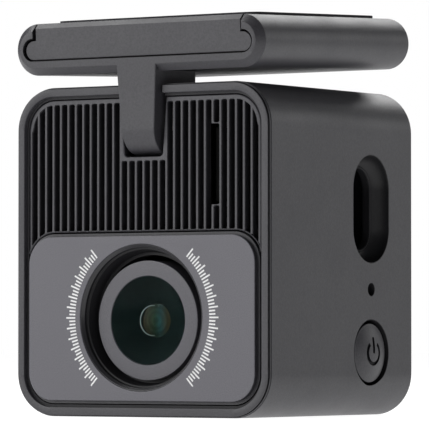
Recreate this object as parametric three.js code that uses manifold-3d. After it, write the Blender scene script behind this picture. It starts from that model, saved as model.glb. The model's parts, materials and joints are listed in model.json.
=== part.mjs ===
// Windscreen dash camera: a cube-shaped camera body that tilts on a friction hinge under a
// slide-off windscreen bracket. Millimetres. +X is the side with the power socket, the lens
// looks along -Y, +Z is up. Inside this file y = 0 is the front face of the bezel and z = 0 is
// the underside of the body; the outermost group moves the whole camera so that the origin is
// the bottom centre of the object.
import * as THREE from "three";
import { mergeVertices } from "three/addons/utils/BufferGeometryUtils.js";
import Module from "manifold-3d";

const wasm = await Module();
wasm.setup();

// Casing
const BODY_HALF = 22.9;
const BODY_HEIGHT = 50;
const BODY_BACK = 41.2;
const BODY_CORNER = 6.5;
const SHELL_FRONT = 1.0;
const SHELL_WALL = 1.5;
const FIT_GAP = 0.3;
const COVER_THICK = 1.8;
const PAST = 1; // how far a cutter reaches past the face it cuts

// Bezel: a narrow ring, slightly inside the casing's outline
const BEZEL_INSET = 0.15;
const BEZEL_RIM = 1.25;
const BEZEL_DEPTH = 0.7;
const BEZEL_CUT_HALF = 3.95;

// Grille panel
const PANEL_HALF = 20.95;
const PANEL_TOP = 48.05;
const PANEL_CORNER = 4.7;
const PANEL_FRONT = 0.75;
const PANEL_BACK = 2.2;
const SLOT_COUNT = 30;
const SLOT_PITCH = 1.382;
const SLOT_WIDTH = 0.96;
const SLOT_TOP = 47.35;
const SLOT_BOTTOM = 28.1;
const SLOT_SOFT = 0.28;
const TOP_STEPS = [2.1, 0.6]; // how much lower the last two slots at each side end, at the top
const BOTTOM_STEPS = [1.4, 0.4]; // and at the bottom
const NOTCH_TOP_HALF = 4.05;
const NOTCH_BOTTOM_HALF = 3.42;
const NOTCH_BOTTOM = 39.1;
const NOTCH_SOFT = 0.5;
const NOTCH_RIM = 0.55;
const CARD_SLOT_BOTTOM = 31.77;
const CARD_SLOT_TOP = 43.78;

// Lens plate and lens
const PLATE_HALF = 20.53;
const PLATE_BOTTOM = 2.44;
const PLATE_TOP = 27.23;
const PLATE_CORNER = 4.15;
const PLATE_BACK = 2.0;
const PLATE_TO_PANEL = 0.65;
const LENS_Z = 14.8;
const WELL_MOUTH_R = 11.08;
const RING_R = 9.15;
const RING_FRONT = 1.92;
const GLASS_R = 6.6;
const WELL_FLANGE_R = 13;
const WELL_FLANGE_FRONT = 4.2;
const WELL_BACK = 5.2;
const BARREL_FRONT = 3.6;
const BARREL_BACK = 17;

// Windscreen bracket: a flat slab with a dovetail channel along Y, and an arm below it
const SLAB_HALF = 22.55;
const SLAB_BOTTOM = 52.1;
const SLAB_TOP = 60;
const SLAB_FRONT = -0.9;
const SLAB_BACK = 42.5;
const SLAB_CHAMFER = 1.1;
const CHANNEL_BACK = 40;
const SLIDE_RECESS = 0.35;
const PLATE_BULB_HALF = 20.45;
const PLATE_NECK_HALF = 18.6;
const PLATE_BULB_BOTTOM = 54.45;
const PLATE_BULB_TOP = 57.4;
const PAD_HALF = 18.2;
const PAD_FRONT = 4.1;
const PAD_BACK = 39.4;
const PAD_CORNER = 2;
const PAD_THICK = 0.45;
const PAD_GAP = 0.02;

// Hinge; at rest the bracket stands a little open, its back higher than its front
const REST_TILT = THREE.MathUtils.degToRad(2.6);
const PIVOT_Y = 4.6;
const PIVOT_Z = 44.9;
const ARM_RADIUS = 5.5;
const ARM_TOE_R = 4.2;
const ARM_SWEEP_R = 6.5;
const ARM_TOP_HALF = 3.66;
const ARM_TIP_HALF = 2.75;
const PIN_R = 1;
const PIN_BORE_R = 1.08;
const WASHER_R = 2.1;
const CHEEK_INNER = 4.4;
const CHEEK_OUTER = 7.2;
const CRADLE_FOOT = 2.4;

// Right side: power socket recess, microphone hole and power button share one vertical line
const SIDE_LINE_Y = 29;
const PORT_Z = 31.6;
const PORT_HALF_Y = 3.2;
const PORT_HALF_Z = 6.25;
const PORT_FLARE = 1.95;
const PORT_DEPTH = 2.3;
const PORT_BOSS_RIM = 3;
const PORT_BOSS_DEPTH = 1.2;
const MIC_Z = 19.3;
const MIC_HOLE_R = 1;
const BUTTON_Z = 9.62;
const BUTTON_HOLE_R = 5;
const BUTTON_R = 4.5;
const BUTTON_CROWN = 23.4;

// Boards
const BOARD_THICK = 1;
const MAIN_BOARD_X = 10;
const CARD_X = 12.44;
const CARD_FRONT = 2.5;

// ---------------------------------------------------------------- materials

const finish = {
  casing: { color: 0x3d3d40, roughness: 0.55, metalness: 0 },
  plate: { color: 0x58595d, roughness: 0.42, metalness: 0.1 },
  black: { color: 0x0b0b0c, roughness: 0.6, metalness: 0 },
  ring: { color: 0x55565a, roughness: 0.45, metalness: 0.2 },
  glass: { color: 0x0c1a18, roughness: 0.05, metalness: 0 },
  foam: { color: 0x2a2a2c, roughness: 0.9, metalness: 0 },
  steel: { color: 0xb9bcc0, roughness: 0.3, metalness: 1 },
  board: { color: 0x0f3d2a, roughness: 0.5, metalness: 0 },
  chip: { color: 0x1a1a1c, roughness: 0.5, metalness: 0 },
  nylon: { color: 0xd9d7cf, roughness: 0.5, metalness: 0 },
  rubber: { color: 0x18181a, roughness: 0.85, metalness: 0 },
  copper: { color: 0xb8743c, roughness: 0.4, metalness: 1 },
  film: { color: 0xa5642a, roughness: 0.5, metalness: 0 },
  card: { color: 0x151517, roughness: 0.4, metalness: 0 },
};

// ---------------------------------------------------------------- solids

// A closed geometry as a boolean-ready solid: shared vertices merged, empty triangles dropped
function solid(geometry) {
  const bare = geometry.clone();
  bare.deleteAttribute("normal");
  bare.deleteAttribute("uv");
  const merged = mergeVertices(bare, 1e-4);
  const index = merged.index.array;
  const triangles = [];
  for (let i = 0; i < index.length; i += 3) {
    const [a, b, c] = [index[i], index[i + 1], index[i + 2]];
    if (a !== b && b !== c && c !== a) triangles.push(a, b, c);
  }
  return new wasm.Manifold(
    new wasm.Mesh({
      numProp: 3,
      vertProperties: new Float32Array(merged.attributes.position.array),
      triVerts: new Uint32Array(triangles),
    }),
  );
}

// A solid back as a geometry that a mesh can show
function geometryOf(body) {
  const mesh = body.getMesh();
  const geometry = new THREE.BufferGeometry();
  geometry.setAttribute("position", new THREE.BufferAttribute(new Float32Array(mesh.vertProperties), 3));
  geometry.setIndex(new THREE.BufferAttribute(new Uint32Array(mesh.triVerts), 1));
  geometry.computeVertexNormals();
  return geometry;
}

// ---------------------------------------------------------------- outlines

// Rectangle with round corners, between two corners
function roundRect(x0, y0, x1, y1, r) {
  const shape = new THREE.Shape();
  shape.moveTo(x0 + r, y0);
  shape.lineTo(x1 - r, y0);
  shape.absarc(x1 - r, y0 + r, r, -Math.PI / 2, 0, false);
  shape.lineTo(x1, y1 - r);
  shape.absarc(x1 - r, y1 - r, r, 0, Math.PI / 2, false);
  shape.lineTo(x0 + r, y1);
  shape.absarc(x0 + r, y1 - r, r, Math.PI / 2, Math.PI, false);
  shape.lineTo(x0, y0 + r);
  shape.absarc(x0 + r, y0 + r, r, Math.PI, Math.PI * 1.5, false);
  return shape;
}

function rect(x0, y0, x1, y1) {
  return polygon([
    [x0, y0],
    [x1, y0],
    [x1, y1],
    [x0, y1],
  ]);
}

function polygon(points) {
  return new THREE.Shape(points.map(([x, y]) => new THREE.Vector2(x, y)));
}

function circle(x, y, r) {
  const shape = new THREE.Shape();
  shape.absarc(x, y, r, 0, Math.PI * 2, false);
  return shape;
}

// Slot with its four corners cut off
function softSlot(x0, y0, x1, y1, cut) {
  return polygon([
    [x0, y0 + cut],
    [x0 + cut, y0],
    [x1 - cut, y0],
    [x1, y0 + cut],
    [x1, y1 - cut],
    [x1 - cut, y1],
    [x0 + cut, y1],
    [x0, y1 - cut],
  ]);
}

// Round-ended upright slot
function stadium(x, y, halfWidth, halfHeight) {
  return roundRect(x - halfWidth, y - halfHeight, x + halfWidth, y + halfHeight, halfWidth - 1e-3);
}

// ---------------------------------------------------------------- extrusions and turned shapes

function extrude(shape, depth, segments, bevel = {}) {
  const settings = { depth, curveSegments: segments, bevelEnabled: false, ...bevel };
  return new THREE.ExtrudeGeometry(shape, settings);
}

// Outline in X and Z, from y0 to y1
function alongY(shape, y0, y1, segments = 8) {
  return extrude(shape, y1 - y0, segments)
    .rotateX(Math.PI / 2)
    .translate(0, y1, 0);
}

// Outline in Y and Z, from x0 to x1
function alongX(shape, x0, x1, segments = 8, bevel = {}) {
  const turn = new THREE.Matrix4().makeBasis(
    new THREE.Vector3(0, 1, 0),
    new THREE.Vector3(0, 0, 1),
    new THREE.Vector3(1, 0, 0),
  );
  return extrude(shape, x1 - x0, segments, bevel)
    .applyMatrix4(turn)
    .translate(x0, 0, 0);
}

// Outline in X and Y, from z0 to z1
function alongZ(shape, z0, z1, segments = 8) {
  return extrude(shape, z1 - z0, segments).translate(0, 0, z0);
}

// A block given by its lowest and highest corners
function block(low, high) {
  const size = high.map((v, i) => v - low[i]);
  const middle = high.map((v, i) => (v + low[i]) / 2);
  return new THREE.BoxGeometry(...size).translate(...middle);
}

// Profile of [radius, y] points, anticlockwise, turned about the lens axis
function turnedY(profile, segments = 28) {
  return new THREE.LatheGeometry(
    profile.map(([r, y]) => new THREE.Vector2(r, y)),
    segments,
  ).translate(0, 0, LENS_Z);
}

// Ring profile: the same, closed on itself
function ringY(profile, segments = 28) {
  return turnedY([...profile, profile[0]], segments);
}

// Profile of [radius, x] points turned about an axis along X through (y, z)
function turnedX(profile, y, z, segments = 24) {
  return new THREE.LatheGeometry(
    profile.map(([r, x]) => new THREE.Vector2(r, x)),
    segments,
  )
    .rotateZ(-Math.PI / 2)
    .translate(0, y, z);
}

// Points of a shallow arc from the axis out to (radius, edge); apex is the place on the axis
function domeArc(radius, apex, edge, steps = 3) {
  return Array.from({ length: steps + 1 }, (_, i) => {
    const t = i / steps;
    return [radius * t, apex + (edge - apex) * t * t];
  });
}

// ---------------------------------------------------------------- scene graph

const camera = new THREE.Group();

function piece(name, look, geometry) {
  const mesh = new THREE.Mesh(geometry, new THREE.MeshStandardMaterial(finish[look]));
  mesh.name = name;
  camera.add(mesh);
}

// ---------------------------------------------------------------- casing

function bodyOutline(inset) {
  const half = BODY_HALF - inset;
  return roundRect(-half, inset, half, BODY_HEIGHT - inset, BODY_CORNER - inset);
}

// Recess round the power socket: a round-bottomed scoop that narrows to a plug-sized opening
function portCutter() {
  const outline = stadium(SIDE_LINE_Y, PORT_Z, PORT_HALF_Y, PORT_HALF_Z);
  const scoop = alongX(outline, BODY_HALF, BODY_HALF + PORT_DEPTH + PAST, 6, {
    bevelEnabled: true,
    bevelSegments: 3,
    bevelThickness: PORT_DEPTH,
    bevelSize: PORT_FLARE,
  });
  const opening = alongX(outline, BODY_HALF - 2 * PORT_DEPTH - PAST, BODY_HALF + PAST, 6);
  return solid(scoop).add(solid(opening));
}

function mainShell() {
  const bossHalfY = PORT_HALF_Y + PORT_BOSS_RIM;
  const bossHalfZ = PORT_HALF_Z + PORT_BOSS_RIM;
  const portBoss = block(
    [BODY_HALF - PORT_DEPTH - PORT_BOSS_DEPTH, SIDE_LINE_Y - bossHalfY, PORT_Z - bossHalfZ],
    [BODY_HALF - SHELL_WALL / 3, SIDE_LINE_Y + bossHalfY, PORT_Z + bossHalfZ],
  );
  const wellGap = 0.15;
  const armWell = block(
    [-NOTCH_TOP_HALF - wellGap, SHELL_FRONT - PAST, BODY_HEIGHT - SHELL_WALL - 0.7],
    [NOTCH_TOP_HALF + wellGap, PIVOT_Y + ARM_RADIUS + 0.7, BODY_HEIGHT + PAST],
  );
  const inside = BODY_HALF - 2 * SHELL_WALL;
  const micHole = alongX(circle(SIDE_LINE_Y, MIC_Z, MIC_HOLE_R), inside, BODY_HALF + PAST, 5);
  const buttonHole = alongX(circle(SIDE_LINE_Y, BUTTON_Z, BUTTON_HOLE_R), inside, BODY_HALF + PAST, 12);
  return geometryOf(
    solid(alongY(bodyOutline(0), SHELL_FRONT, BODY_BACK, 8))
      .subtract(solid(alongY(bodyOutline(SHELL_WALL), SHELL_FRONT - PAST, BODY_BACK + PAST, 6)))
      .add(solid(portBoss))
      .subtract(portCutter())
      .subtract(solid(armWell))
      .subtract(solid(micHole))
      .subtract(solid(buttonHole)),
  );
}

function frontBezel() {
  const opening = bodyOutline(BEZEL_INSET + BEZEL_RIM);
  const ring = bodyOutline(BEZEL_INSET);
  ring.holes.push(opening);
  const armGap = block(
    [-BEZEL_CUT_HALF, -PAST, BODY_HEIGHT - 2 * BEZEL_RIM],
    [BEZEL_CUT_HALF, BEZEL_DEPTH + PAST, BODY_HEIGHT + PAST],
  );
  return geometryOf(solid(alongY(ring, 0, BEZEL_DEPTH, 8)).subtract(solid(armGap)));
}

// Back lid, with the sound holes of the loudspeaker and the hole of the status light
const SPEAKER = { x: -8.5, z: 14, r: 8.5 };
const STATUS_LIGHT = { x: 13.5, z: 41, r: 0.9 };

function rearCover() {
  const cover = bodyOutline(SHELL_WALL + FIT_GAP);
  const rows = 5;
  const pitch = 2.6;
  const reach = 7;
  const halfHeight = 0.5;
  for (let row = 0; row < rows; row += 1) {
    const offset = (row - (rows - 1) / 2) * pitch;
    const half = Math.sqrt(reach * reach - offset * offset);
    const low = SPEAKER.z + offset - halfHeight;
    const high = SPEAKER.z + offset + halfHeight;
    cover.holes.push(softSlot(SPEAKER.x - half, low, SPEAKER.x + half, high, 0.3));
  }
  cover.holes.push(circle(STATUS_LIGHT.x, STATUS_LIGHT.z, STATUS_LIGHT.r));
  return alongY(cover, BODY_BACK - COVER_THICK, BODY_BACK, 5);
}

piece("main_shell", "casing", mainShell());
piece("front_bezel", "casing", frontBezel());
piece("rear_cover", "casing", rearCover());

// ---------------------------------------------------------------- grille

function slotX(i) {
  return (i - (SLOT_COUNT - 1) / 2) * SLOT_PITCH;
}

// Each slot's ends follow the panel's rounded outline at the sides and the notch in the middle
function slotEnds(i) {
  const fromSide = Math.min(i, SLOT_COUNT - 1 - i);
  const underNotch = Math.abs(slotX(i)) < NOTCH_TOP_HALF;
  const top = underNotch ? NOTCH_BOTTOM - NOTCH_RIM : SLOT_TOP - (TOP_STEPS[fromSide] ?? 0);
  return [SLOT_BOTTOM - (BOTTOM_STEPS[fromSide] ?? 0), top];
}

function uprightSlot(x, z0, z1) {
  return softSlot(x - SLOT_WIDTH / 2, z0, x + SLOT_WIDTH / 2, z1, SLOT_SOFT);
}

// The memory card's slot: two neighbouring grille slots joined along the card's height
const CARD_SLOT_INNER = 23;
const CARD_SLOT_OUTER = 24;
const CARD_SLOT_BRIDGE = 0.35;

function cardSlotHoles() {
  const left = slotX(CARD_SLOT_INNER) - SLOT_WIDTH / 2;
  const rib = slotX(CARD_SLOT_INNER) + SLOT_WIDTH / 2;
  const right = slotX(CARD_SLOT_OUTER) + SLOT_WIDTH / 2;
  const soft = SLOT_SOFT;
  const joined = polygon([
    [left, SLOT_BOTTOM + soft],
    [left + soft, SLOT_BOTTOM],
    [rib - soft, SLOT_BOTTOM],
    [rib, SLOT_BOTTOM + soft],
    [rib, CARD_SLOT_BOTTOM],
    [right - soft, CARD_SLOT_BOTTOM],
    [right, CARD_SLOT_BOTTOM + soft],
    [right, CARD_SLOT_TOP - soft],
    [right - soft, CARD_SLOT_TOP],
    [rib, CARD_SLOT_TOP],
    [rib, SLOT_TOP - soft],
    [rib - soft, SLOT_TOP],
    [left + soft, SLOT_TOP],
    [left, SLOT_TOP - soft],
  ]);
  const x = slotX(CARD_SLOT_OUTER);
  return [
    joined,
    uprightSlot(x, SLOT_BOTTOM, CARD_SLOT_BOTTOM - CARD_SLOT_BRIDGE),
    uprightSlot(x, CARD_SLOT_TOP + CARD_SLOT_BRIDGE, SLOT_TOP),
  ];
}

// Panel outline: round top corners, a tapered notch for the arm, and a lower edge that runs
// round the lens plate's top corners at an even gap, down to a tip on each side
function panelOutline() {
  const cornerZ = PLATE_TOP - PLATE_CORNER;
  const cornerX = PLATE_HALF - PLATE_CORNER;
  const r = PLATE_CORNER + PLATE_TO_PANEL;
  const tipAngle = THREE.MathUtils.degToRad(15);
  const tipZ = cornerZ + r * Math.sin(tipAngle) + 0.3;
  const topX = PANEL_HALF - PANEL_CORNER;
  const topZ = PANEL_TOP - PANEL_CORNER;
  const shape = new THREE.Shape();
  shape.moveTo(-cornerX, cornerZ + r);
  shape.lineTo(cornerX, cornerZ + r);
  shape.absarc(cornerX, cornerZ, r, Math.PI / 2, tipAngle, true);
  shape.lineTo(PANEL_HALF, tipZ);
  shape.lineTo(PANEL_HALF, topZ);
  shape.absarc(topX, topZ, PANEL_CORNER, 0, Math.PI / 2, false);
  shape.lineTo(NOTCH_TOP_HALF, PANEL_TOP);
  shape.lineTo(NOTCH_BOTTOM_HALF, NOTCH_BOTTOM + NOTCH_SOFT);
  shape.lineTo(NOTCH_BOTTOM_HALF - NOTCH_SOFT, NOTCH_BOTTOM);
  shape.lineTo(-NOTCH_BOTTOM_HALF + NOTCH_SOFT, NOTCH_BOTTOM);
  shape.lineTo(-NOTCH_BOTTOM_HALF, NOTCH_BOTTOM + NOTCH_SOFT);
  shape.lineTo(-NOTCH_TOP_HALF, PANEL_TOP);
  shape.lineTo(-topX, PANEL_TOP);
  shape.absarc(-topX, topZ, PANEL_CORNER, Math.PI / 2, Math.PI, false);
  shape.lineTo(-PANEL_HALF, tipZ);
  shape.absarc(-cornerX, cornerZ, r, Math.PI - tipAngle, Math.PI / 2, true);
  return shape;
}

function grillePanel() {
  const shape = panelOutline();
  for (let i = 0; i < SLOT_COUNT; i += 1) {
    if (i === CARD_SLOT_INNER || i === CARD_SLOT_OUTER) continue;
    shape.holes.push(uprightSlot(slotX(i), ...slotEnds(i)));
  }
  shape.holes.push(...cardSlotHoles());
  return alongY(shape, PANEL_FRONT, PANEL_BACK, 6);
}

// Black dust mesh behind the slots, open for the hinge and for the memory card
function dustMesh() {
  const front = PANEL_BACK + FIT_GAP;
  const back = front + 0.4;
  const half = PANEL_HALF - 0.35;
  const outline = roundRect(-half, PLATE_TOP + 0.4, half, PANEL_TOP - 0.4, 3);
  const hingeHalf = CHEEK_OUTER + FIT_GAP;
  const cardHalf = 1.5;
  const hingeGap = block(
    [-hingeHalf, front - PAST, PIVOT_Z - ARM_RADIUS - CRADLE_FOOT - FIT_GAP],
    [hingeHalf, back + PAST, BODY_HEIGHT],
  );
  const cardGap = block(
    [CARD_X - cardHalf, front - PAST, CARD_SLOT_BOTTOM - FIT_GAP],
    [CARD_X + cardHalf, back + PAST, CARD_SLOT_TOP + FIT_GAP],
  );
  const sheet = solid(alongY(outline, front, back, 5));
  return geometryOf(sheet.subtract(solid(hingeGap)).subtract(solid(cardGap)));
}

piece("grille_panel", "casing", grillePanel());
piece("dust_mesh", "black", dustMesh());

// ---------------------------------------------------------------- lens plate and lens

function lensPlate() {
  const shape = roundRect(-PLATE_HALF, PLATE_BOTTOM, PLATE_HALF, PLATE_TOP, PLATE_CORNER);
  shape.holes.push(circle(0, LENS_Z, WELL_MOUTH_R));
  return alongY(shape, 0, PLATE_BACK, 9);
}

// Inner frame that carries the lens plate and the well
function lensCarrier() {
  const edge = SHELL_WALL + 0.4;
  const half = BODY_HALF - edge;
  const shape = roundRect(-half, edge, half, PLATE_TOP - 0.2, PLATE_CORNER + 0.35);
  shape.holes.push(circle(0, LENS_Z, WELL_MOUTH_R));
  return alongY(shape, PLATE_BACK + FIT_GAP, WELL_FLANGE_FRONT - FIT_GAP, 8);
}

// Well: a sleeve inside the plate's opening, a floor round the lens ring, a flange behind
function lensWell() {
  const bore = RING_R + FIT_GAP;
  const wall = 10.2;
  const sleeve = WELL_MOUTH_R - 0.33;
  const mouth = 0.4;
  const floor = 3.2;
  return ringY([
    [bore, floor],
    [wall, floor],
    [wall, mouth],
    [sleeve, mouth],
    [sleeve, WELL_FLANGE_FRONT],
    [WELL_FLANGE_R, WELL_FLANGE_FRONT],
    [WELL_FLANGE_R, WELL_BACK],
    [bore, WELL_BACK],
  ]);
}

// Metal ring: a flat face round the front glass, a long sleeve behind it
function lensRing() {
  const face = GLASS_R + FIT_GAP;
  const edge = 0.25;
  const sleeve = 8;
  const seat = 3.3;
  const back = 7;
  return ringY([
    [face, RING_FRONT],
    [RING_R - edge, RING_FRONT],
    [RING_R, RING_FRONT + edge],
    [RING_R, back],
    [sleeve, back],
    [sleeve, seat],
    [face, seat],
  ]);
}

// Front element: a meniscus, domed forward and hollow behind
function frontLens() {
  const apex = 0.9;
  const edge = 2.2;
  const back = 3.2;
  const hollow = domeArc(GLASS_R - 1.4, edge, back).reverse();
  return turnedY([...domeArc(GLASS_R, apex, edge), [GLASS_R, back], ...hollow]);
}

// Barrel: a wide front for the first elements, a narrow tail for the rear one
function lensBarrel() {
  const wide = 7.7;
  const wideBore = 5.9;
  const narrow = 6.7;
  const narrowBore = 4.2;
  const step = 9;
  return ringY(
    [
      [wideBore, BARREL_FRONT],
      [wide, BARREL_FRONT],
      [wide, step],
      [narrow, step],
      [narrow, BARREL_BACK],
      [narrowBore, BARREL_BACK],
      [narrowBore, step + 1],
      [wideBore, step + 1],
    ],
    20,
  );
}

// Element of two domed faces: each face runs from its place on the axis to its place at the edge
function element(radius, front, back) {
  return turnedY([...domeArc(radius, ...front), ...domeArc(radius, ...back).reverse()], 20);
}

function apertureStop() {
  const opening = 1.6;
  const outer = 5.6;
  const front = 8.2;
  const back = 8.8;
  return ringY(
    [
      [opening, front],
      [outer, front],
      [outer, back],
      [opening, back],
    ],
    20,
  );
}

piece("lens_plate", "plate", lensPlate());
piece("lens_carrier", "black", lensCarrier());
piece("lens_well", "black", lensWell());
piece("lens_ring", "ring", lensRing());
piece("front_lens", "glass", frontLens());
piece("lens_barrel", "black", lensBarrel());
piece("second_lens", "glass", element(5.6, [5.6, 5], [6.6, 7.6]));
piece("aperture_stop", "black", apertureStop());
piece("rear_lens", "glass", element(3.9, [11, 12.2], [14.6, 13.6]));

// ---------------------------------------------------------------- image sensor

const HOLDER_HALF = 8.5;
const HOLDER_FRONT = 12.5;
const HOLDER_BACK = 19.2;
const SENSOR_WINDOW = 5.5;
const SENSOR_BOARD_FRONT = HOLDER_BACK + FIT_GAP;
const SENSOR_BOARD_BACK = SENSOR_BOARD_FRONT + BOARD_THICK;
const SCREW_OFFSET = 7;
const SCREW_BORE_R = 0.8;

function lensHolder() {
  const cube = block(
    [-HOLDER_HALF, HOLDER_FRONT, LENS_Z - HOLDER_HALF],
    [HOLDER_HALF, HOLDER_BACK, LENS_Z + HOLDER_HALF],
  );
  const bore = alongY(circle(0, LENS_Z, 7), HOLDER_FRONT - PAST, BARREL_BACK + 0.2, 16);
  const window = block(
    [-SENSOR_WINDOW, BARREL_BACK - PAST, LENS_Z - SENSOR_WINDOW],
    [SENSOR_WINDOW, HOLDER_BACK + PAST, LENS_Z + SENSOR_WINDOW],
  );
  let holder = solid(cube).subtract(solid(bore)).subtract(solid(window));
  for (const side of [-1, 1]) {
    const hole = circle(side * SCREW_OFFSET, LENS_Z + side * SCREW_OFFSET, SCREW_BORE_R);
    holder = holder.subtract(solid(alongY(hole, BARREL_BACK - PAST, HOLDER_BACK + PAST, 6)));
  }
  return geometryOf(holder);
}

function sensorBoard() {
  const shape = roundRect(-9.2, 3.5, 9.2, 26.5, 1);
  for (const side of [-1, 1]) {
    shape.holes.push(circle(side * SCREW_OFFSET, LENS_Z + side * SCREW_OFFSET, SCREW_BORE_R));
  }
  return alongY(shape, SENSOR_BOARD_FRONT, SENSOR_BOARD_BACK, 3);
}

// Pan-head screw from behind the sensor board into the lens holder
function sensorScrew() {
  const tip = 16.6;
  const head = SENSOR_BOARD_BACK + 0.1;
  const headHeight = 0.7;
  const shaftR = 0.6;
  const headR = 1.3;
  const profile = [
    [0, tip],
    [shaftR, tip],
    [shaftR, head],
    [headR, head],
    [headR, head + headHeight],
    [0, head + headHeight + 0.2],
  ];
  return new THREE.LatheGeometry(profile.map(([r, y]) => new THREE.Vector2(r, y)), 12);
}

// Flat ribbon from the sensor board round to the main board
function sensorRibbon() {
  const front = SENSOR_BOARD_BACK + FIT_GAP;
  const outerX = MAIN_BOARD_X - FIT_GAP;
  const innerX = 2;
  const bend = 3;
  const thick = 0.3;
  const reach = 9;
  const shape = new THREE.Shape();
  shape.moveTo(innerX, front);
  shape.lineTo(outerX - bend, front);
  shape.absarc(outerX - bend, front + bend, bend, -Math.PI / 2, 0, false);
  shape.lineTo(outerX, front + reach);
  shape.lineTo(outerX - thick, front + reach);
  shape.lineTo(outerX - thick, front + bend);
  shape.absarc(outerX - bend, front + bend, bend - thick, 0, -Math.PI / 2, true);
  shape.lineTo(innerX, front + thick);
  return alongZ(shape, 8, 16, 6);
}

piece("lens_holder", "black", lensHolder());
piece("infrared_filter", "glass", block([-4.6, 17.5, LENS_Z - 4.6], [4.6, 17.8, LENS_Z + 4.6]));
piece("image_sensor", "chip", block([-4.5, 18.1, LENS_Z - 3.8], [4.5, 19.2, LENS_Z + 3.8]));
piece("sensor_board", "board", sensorBoard());
for (const [name, side] of [
  ["sensor_screw_left", -1],
  ["sensor_screw_right", 1],
]) {
  const screw = sensorScrew().translate(side * SCREW_OFFSET, 0, LENS_Z + side * SCREW_OFFSET);
  piece(name, "steel", screw);
}
piece("sensor_ribbon", "film", sensorRibbon());

// ---------------------------------------------------------------- main board and its parts

const BOARD_OUTER = MAIN_BOARD_X + BOARD_THICK;
const BOARD_GAP = 0.2;
const CARD_MIDDLE_Z = (CARD_SLOT_BOTTOM + CARD_SLOT_TOP) / 2;

// Sheet-metal socket with its mouth towards the grille
function cardSocket() {
  const front = 5.6;
  const back = 20;
  const half = 6.6;
  const mouthHalf = 5.9;
  const mouthReach = 0.75;
  const cover = block(
    [BOARD_OUTER + BOARD_GAP, front, CARD_MIDDLE_Z - half],
    [BOARD_OUTER + 2.6, back, CARD_MIDDLE_Z + half],
  );
  const mouth = block(
    [CARD_X - mouthReach, front - PAST, CARD_MIDDLE_Z - mouthHalf],
    [CARD_X + mouthReach, back - 1.2, CARD_MIDDLE_Z + mouthHalf],
  );
  return geometryOf(solid(cover).subtract(solid(mouth)));
}

// Memory card: one corner cut off and a raised finger edge at the outer end
function memoryCard() {
  const back = CARD_FRONT + 15;
  const half = 5.5;
  const low = CARD_MIDDLE_Z - half;
  const high = CARD_MIDDLE_Z + half;
  const cut = 1.2;
  const halfThick = 0.35;
  const outline = polygon([
    [CARD_FRONT, low],
    [back, low],
    [back, high - cut],
    [back - cut, high],
    [CARD_FRONT, high],
  ]);
  const fingerEdge = block([CARD_X - 0.5, CARD_FRONT, low], [CARD_X + 0.5, CARD_FRONT + 0.9, high]);
  const card = alongX(outline, CARD_X - halfThick, CARD_X + halfThick);
  return geometryOf(solid(card).add(solid(fingerEdge)));
}

// Upright power socket: an oval sheet-metal shell standing on the main board, mouth outwards
const USB_MOUTH_X = 18.4;
const USB_HALF_Y = 1.63;
const USB_HALF_Z = 4.47;
const USB_WALL = 0.33;

function usbShell() {
  const outside = stadium(SIDE_LINE_Y, PORT_Z, USB_HALF_Y, USB_HALF_Z);
  const inside = stadium(SIDE_LINE_Y, PORT_Z, USB_HALF_Y - USB_WALL, USB_HALF_Z - USB_WALL);
  const tube = alongX(outside, BOARD_OUTER + BOARD_GAP, USB_MOUTH_X, 4);
  const hollow = alongX(inside, BOARD_OUTER + BOARD_GAP + 1, USB_MOUTH_X + PAST, 4);
  return geometryOf(solid(tube).subtract(solid(hollow)));
}

function usbTongue() {
  const halfThick = 0.35;
  const halfWide = 3.3;
  return block(
    [BOARD_OUTER + BOARD_GAP + 1.3, SIDE_LINE_Y - halfThick, PORT_Z - halfWide],
    [USB_MOUTH_X - 0.8, SIDE_LINE_Y + halfThick, PORT_Z + halfWide],
  );
}

// The processor, its pad and the heat spreader are stacked on the board's inner face
const STACK_Y = [21, 37];
const STACK_Z = [26, 40];

function processor() {
  return block([MAIN_BOARD_X - 1.5, 23, 27], [MAIN_BOARD_X - BOARD_GAP, 35, 39]);
}

function thermalPad() {
  return block([MAIN_BOARD_X - 2.4, 23.5, 27.5], [MAIN_BOARD_X - 1.6, 34.5, 38.5]);
}

// Aluminium heat spreader with a row of fins
function heatSpreader() {
  const fins = 7;
  const finThick = 1;
  const pitch = (STACK_Y[1] - STACK_Y[0] - finThick) / (fins - 1);
  const base = MAIN_BOARD_X - 2.5;
  const root = base - 1.2;
  const tip = base - 4;
  const points = [
    [base, STACK_Y[0]],
    [base, STACK_Y[1]],
  ];
  for (let i = fins - 1; i >= 0; i -= 1) {
    const y = STACK_Y[0] + pitch * i;
    points.push([tip, y + finThick], [tip, y]);
    if (i > 0) points.push([root, y], [root, y - pitch + finThick]);
  }
  return alongZ(polygon(points), ...STACK_Z);
}

piece("main_board", "board", block([MAIN_BOARD_X, 6, 3.5], [BOARD_OUTER, 37.5, 46]));
piece("card_socket", "steel", cardSocket());
piece("memory_card", "card", memoryCard());
piece("usb_shell", "steel", usbShell());
piece("usb_tongue", "black", usbTongue());
piece("processor", "chip", processor());
piece("thermal_pad", "foam", thermalPad());
piece("heat_spreader", "steel", heatSpreader());

// ---------------------------------------------------------------- back-up capacitors

const CAPACITOR_X = -15.8;
const CAPACITOR_R = 4;
const CAPACITOR_HEIGHT = 22;
const CAPACITOR_FOOT = 10;
const CAPACITOR_Y = [14, 23.6];

function capacitor(y) {
  return new THREE.CylinderGeometry(CAPACITOR_R, CAPACITOR_R, CAPACITOR_HEIGHT, 24)
    .rotateX(Math.PI / 2)
    .translate(CAPACITOR_X, y, CAPACITOR_FOOT + CAPACITOR_HEIGHT / 2);
}

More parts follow.
